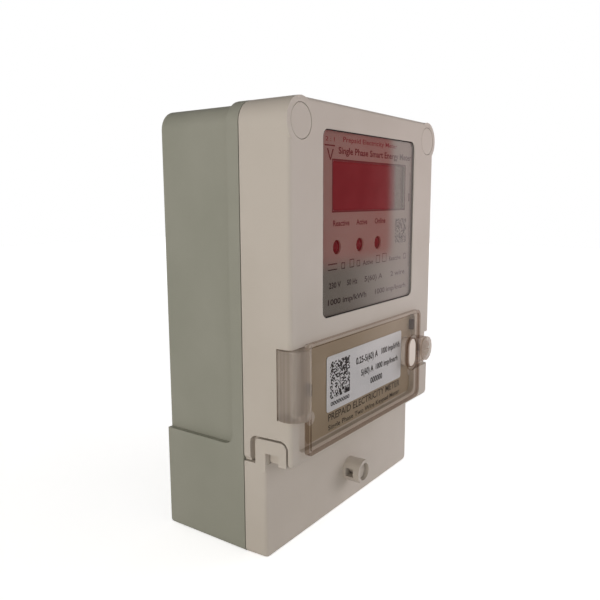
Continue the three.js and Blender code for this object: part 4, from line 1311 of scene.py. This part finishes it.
INSIDE: dict[str, tuple[Finish, float]] = {
    "display_board": (SOLDER_RESIST, 0.05),
    "main_board": (SOLDER_RESIST, 0.05),
    "button_spring": (SPRING_STEEL, 0.05),
    "switch_body": (BLACK_PBT, 0.2),
    "switch_plunger": (BUTTON_ABS, 0.15),
    "relay_body": (RELAY_PBT, 0.3),
    "relay_coil": (COPPER, 0.15),
    "relay_rocker": (BUTTON_ABS, 0.15),
    "relay_contact_arm": (COPPER, 0.03),
    "shunt_strip": (COPPER, 0.15),
    "current_transformer": (BLACK_PBT, 0.4),
    "power_transformer": (CORE_STEEL, 0.3),
    "smoothing_capacitor": (BLACK_PBT, 0.3),
    "backup_battery": (LABEL_FILM, 0.3),
    "radio_module": (ZINC_STEEL, 0.2),
    "antenna_rod": (COPPER, 0.1),
    **{f"cover_screw_{number}": (ZINC_STEEL, 0.15) for number in range(1, 5)},
}


class Inside:
    """The boards, relay, transformers and screws inside the case."""

    def build(self) -> None:
        """Builds and dresses every inner piece."""
        for node, (finish, edge) in INSIDE.items():
            stand_for(node, finish, edge)


# ---------------------------------------------------------------- studio


@dataclass(frozen=True)
class StudioSizes:
    """Camera, lights and floor of the plain studio, in millimetres and degrees."""

    camera: Place = (-221.23, -149.85, 127.28)
    azimuth: float = -54.64
    elevation: float = 8.95
    roll: float = -0.20
    lens: float = 38.57
    sensor: float = 36.0
    floor: float = 3000.0
    floor_glow: float = 0.6
    sky: float = 0.6
    backdrop: float = 1.0
    ceiling: float = 500.0
    ceiling_height: float = 560.0
    cloth: Box = (60.0, 28.0, 330.0, 320.0)
    cloth_front: float = -120.0
    mat: Box = (-70.0, -420.0, 560.0, -40.0)
    mat_height: float = 1.0


@dataclass(frozen=True)
class SoftLight:
    """A square soft light: its place, target and side in millimetres, power in watts and sRGB colour."""

    name: str
    place: Place
    target: Place
    size: float
    power: float
    color: str


LIGHTS = (
    SoftLight("key", (-800, -60, 130), (0, 0, 80), 600, 2.35, "#fff8ee"),
    SoftLight("fill", (300, -260, 100), (20, -30, 80), 260, 0.54, "#faf4fb"),
)


class Studio:
    """A pale floor, a bright soft surround and large soft lights."""

    def __init__(self, sizes: StudioSizes = StudioSizes()) -> None:
        """Keeps the sizes."""
        self.sizes = sizes

    def build(self) -> None:
        """Builds the floor, the surround, the lights and the camera."""
        self.floor()
        self.surround()
        for light in LIGHTS:
            self.light(light)
        self.ceiling()
        self.mirrored()
        self.camera()
        bpy.context.scene.view_settings.view_transform = "Standard"

    def floor(self) -> None:
        """Builds the pale floor that the meter stands on."""
        half = self.sizes.floor * MM / 2
        mesh = bpy.data.meshes.new("floor")
        corners = [(-half, -half, 0), (half, -half, 0), (half, half, 0), (-half, half, 0)]
        mesh.from_pydata(corners, [], [(0, 1, 2, 3)])
        made = new_object("floor", mesh)
        mesh.materials.append(Backdrop("floor_paper", "#ffffff", 0.9, self.sizes.floor_glow).material())

    def surround(self) -> None:
        """Lights the scene evenly from all round."""
        world = bpy.data.worlds.new("surround")
        world.use_nodes = True
        tree = world.node_tree
        tree.nodes.clear()
        lit = add_node(tree, "ShaderNodeBackground", Color=linear("#ffffff"), Strength=self.sizes.sky)
        seen = add_node(tree, "ShaderNodeBackground", Color=linear("#ffffff"), Strength=self.sizes.backdrop)
        path = add_node(tree, "ShaderNodeLightPath")
        parts = {0: path.outputs["Is Camera Ray"], 1: lit.outputs[0], 2: seen.outputs[0]}
        mixed = add_node(tree, "ShaderNodeMixShader", parts)
        add_node(tree, "ShaderNodeOutputWorld", {"Surface": mixed.outputs[0]})
        bpy.context.scene.world = world

    def light(self, light: SoftLight) -> None:
        """Adds one large soft light, which shows in no reflection."""
        lamp = bpy.data.lights.new(light.name, "AREA")
        lamp.size = light.size * MM
        lamp.energy = light.power
        lamp.color = linear(light.color)[:3]
        made = bpy.data.objects.new(light.name, lamp)
        bpy.context.scene.collection.objects.link(made)
        start = Vector(light.place) * MM
        made.location = start
        made.rotation_euler = (Vector(light.target) * MM - start).to_track_quat("-Z", "Y").to_euler()
        made.visible_glossy = False
        made.visible_transmission = False

    def ceiling(self) -> None:
        """Hangs a grey board over the meter, so that its top is not the brightest side."""
        mesh = bpy.data.meshes.new("ceiling")
        half, height = self.sizes.ceiling * MM, self.sizes.ceiling_height * MM
        corners = [(-half, -half, height), (-half, half, height), (half, half, height), (half, -half, height)]
        mesh.from_pydata(corners, [], [(0, 1, 2, 3)])
        made = new_object("ceiling", mesh)
        mesh.materials.append(Backdrop("ceiling_board", "#6a6866", 0.9).material())

    def mirrored(self) -> None:
        """Sets up what only the glossy plastic mirrors: a glowing red cloth at the side and a mat in front
        that glows, faintly at the left and more to the right; their glow is painted light.
        """
        left, low, right, high = self.sizes.cloth
        y = self.sizes.cloth_front
        cloth = [(left, y, low), (right, y, low), (right, y, high), (left, y, high)]
        left, front, right, back = self.sizes.mat
        z = self.sizes.mat_height
        mat = [(left, front, z), (right, front, z), (right, back, z), (left, back, z)]
        # Both sheets glow by themselves: painted light, which shows on the glossy plastic as reflections.
        self.reflected("cloth", cloth, GlowCloth("red_glow_cloth", "#bc4247"))
        glow_mat = GlowCloth("pale_glow_mat", "#bc4247", glow=(0.02, 0.6), rise=(110.0, 330.0))
        self.reflected("mat", mat, glow_mat)

    def reflected(self, name: str, corners: Sequence[Place], finish: Finish) -> None:
        """Adds a flat sheet that is seen only in reflections and changes no other light.

        Args:
            name: The sheet's name.
            corners: Its corners, in millimetres.
            finish: Its material.
        """
        mesh = bpy.data.meshes.new(name)
        mesh.from_pydata([(x * MM, y * MM, z * MM) for x, y, z in corners], [], [(0, 1, 2, 3)])
        mesh.materials.append(finish.material())
        made = new_object(name, mesh)
        made.visible_camera = False
        made.visible_diffuse = False
        made.visible_shadow = False

    def camera(self) -> None:
        """Places the camera."""
        sizes = self.sizes
        around, above, roll = (math.radians(turn) for turn in (sizes.azimuth, sizes.elevation, sizes.roll))
        flat = math.cos(above)
        back = Vector((math.sin(around) * flat, -math.cos(around) * flat, math.sin(above)))
        level = Vector((math.cos(around), math.sin(around), 0))
        top = back.cross(level)
        right = level * math.cos(roll) + top * math.sin(roll)
        up = back.cross(right)
        eye = bpy.data.cameras.new("camera")
        eye.lens = sizes.lens
        eye.sensor_width = sizes.sensor
        eye.clip_start = 0.01
        made = bpy.data.objects.new("camera", eye)
        bpy.context.scene.collection.objects.link(made)
        turn = Matrix((right, up, back)).transposed().to_4x4()
        made.matrix_world = Matrix.Translation(Vector(sizes.camera) * MM) @ turn
        bpy.context.scene.camera = made


@dataclass(frozen=True)
class Backdrop(Finish):
    """Matte seamless paper with a faint fibre; glow lifts it towards white where it is looked at."""

    glow: float = 0.0

    def shade(self, tree: Tree) -> Socket:
        """Builds the paper."""
        fibre = place_noise(tree, 3.0, 2.0)
        links = {"Roughness": spread(tree, fibre, self.roughness - 0.05, self.roughness + 0.05)}
        path = add_node(tree, "ShaderNodeLightPath")
        seen = add_node(tree, "ShaderNodeMath", {0: path.outputs["Is Camera Ray"]}, operation="MULTIPLY")
        seen.inputs[1].default_value = self.glow
        links["Emission Strength"] = seen.outputs[0]
        shader = add_node(tree, "ShaderNodeBsdfPrincipled", links)
        shader.inputs["Base Color"].default_value = linear(self.color)
        shader.inputs["Emission Color"].default_value = linear(self.color)
        shader.inputs["Specular IOR Level"].default_value = 0.1
        return shader.outputs["BSDF"]


@dataclass(frozen=True)
class GlowCloth(Finish):
    """Glowing cloth seen only in reflections, its light painted as emission: red to its foot, then dark, with
    a pale side.

    side and foot are where the red ends, and rise is how the rest brightens across, in millimetres.
    """

    pale: str = "#fff0ec"
    glow: tuple[float, float] = (0.03, 0.78)
    rise: tuple[float, float] = (120.0, 215.0)
    side: tuple[float, float] = (186.0, 203.0)
    foot: tuple[float, float] = (80.0, 94.0)

    def fade(self, tree: Tree, value: Socket, ends: Point, to: Point = (0.0, 1.0)) -> Socket:
        """Turns a place between two ends into a soft step.

        Args:
            tree: The shader tree.
            value: The coordinate's socket.
            ends: Where the step starts and ends, in millimetres.
            to: The values at its start and end.

        Returns:
            The step's socket.
        """
        step = add_node(tree, "ShaderNodeMapRange", {"Value": value}, interpolation_type="SMOOTHSTEP")
        numbers = (ends[0] * MM, ends[1] * MM, *to)
        for name, number in zip(("From Min", "From Max", "To Min", "To Max"), numbers):
            step.inputs[name].default_value = number
        return step.outputs["Result"]

    def shade(self, tree: Tree) -> Socket:
        """Builds the cloth as two lights, mixed by place."""
        place = add_node(tree, "ShaderNodeTexCoord")
        parts = add_node(tree, "ShaderNodeSeparateXYZ", {"Vector": place.outputs["Object"]})
        across, height = parts.outputs["X"], parts.outputs["Z"]
        steps = {0: self.fade(tree, across, self.side[::-1]), 1: self.fade(tree, height, self.foot)}
        both = add_node(tree, "ShaderNodeMath", steps, operation="MULTIPLY")
        strength = self.fade(tree, across, self.rise, self.glow)
        rest = add_node(tree, "ShaderNodeEmission", {"Strength": strength}, Color=linear(self.pale))
        red = add_node(tree, "ShaderNodeEmission", Color=linear(self.color))
        links = {0: both.outputs[0], 1: rest.outputs[0], 2: red.outputs[0]}
        return add_node(tree, "ShaderNodeMixShader", links).outputs["Shader"]


# ---------------------------------------------------------------- the whole meter


def main() -> None:
    """Builds the meter from its sub-assemblies and sets up the studio."""
    for part in (Base(), FrontCover(), Dial(), Flap(), Terminals(), Inside(), Studio()):
        part.build()
        log.info("%s is done", type(part).__name__)


if __name__ == "__main__":
    main()
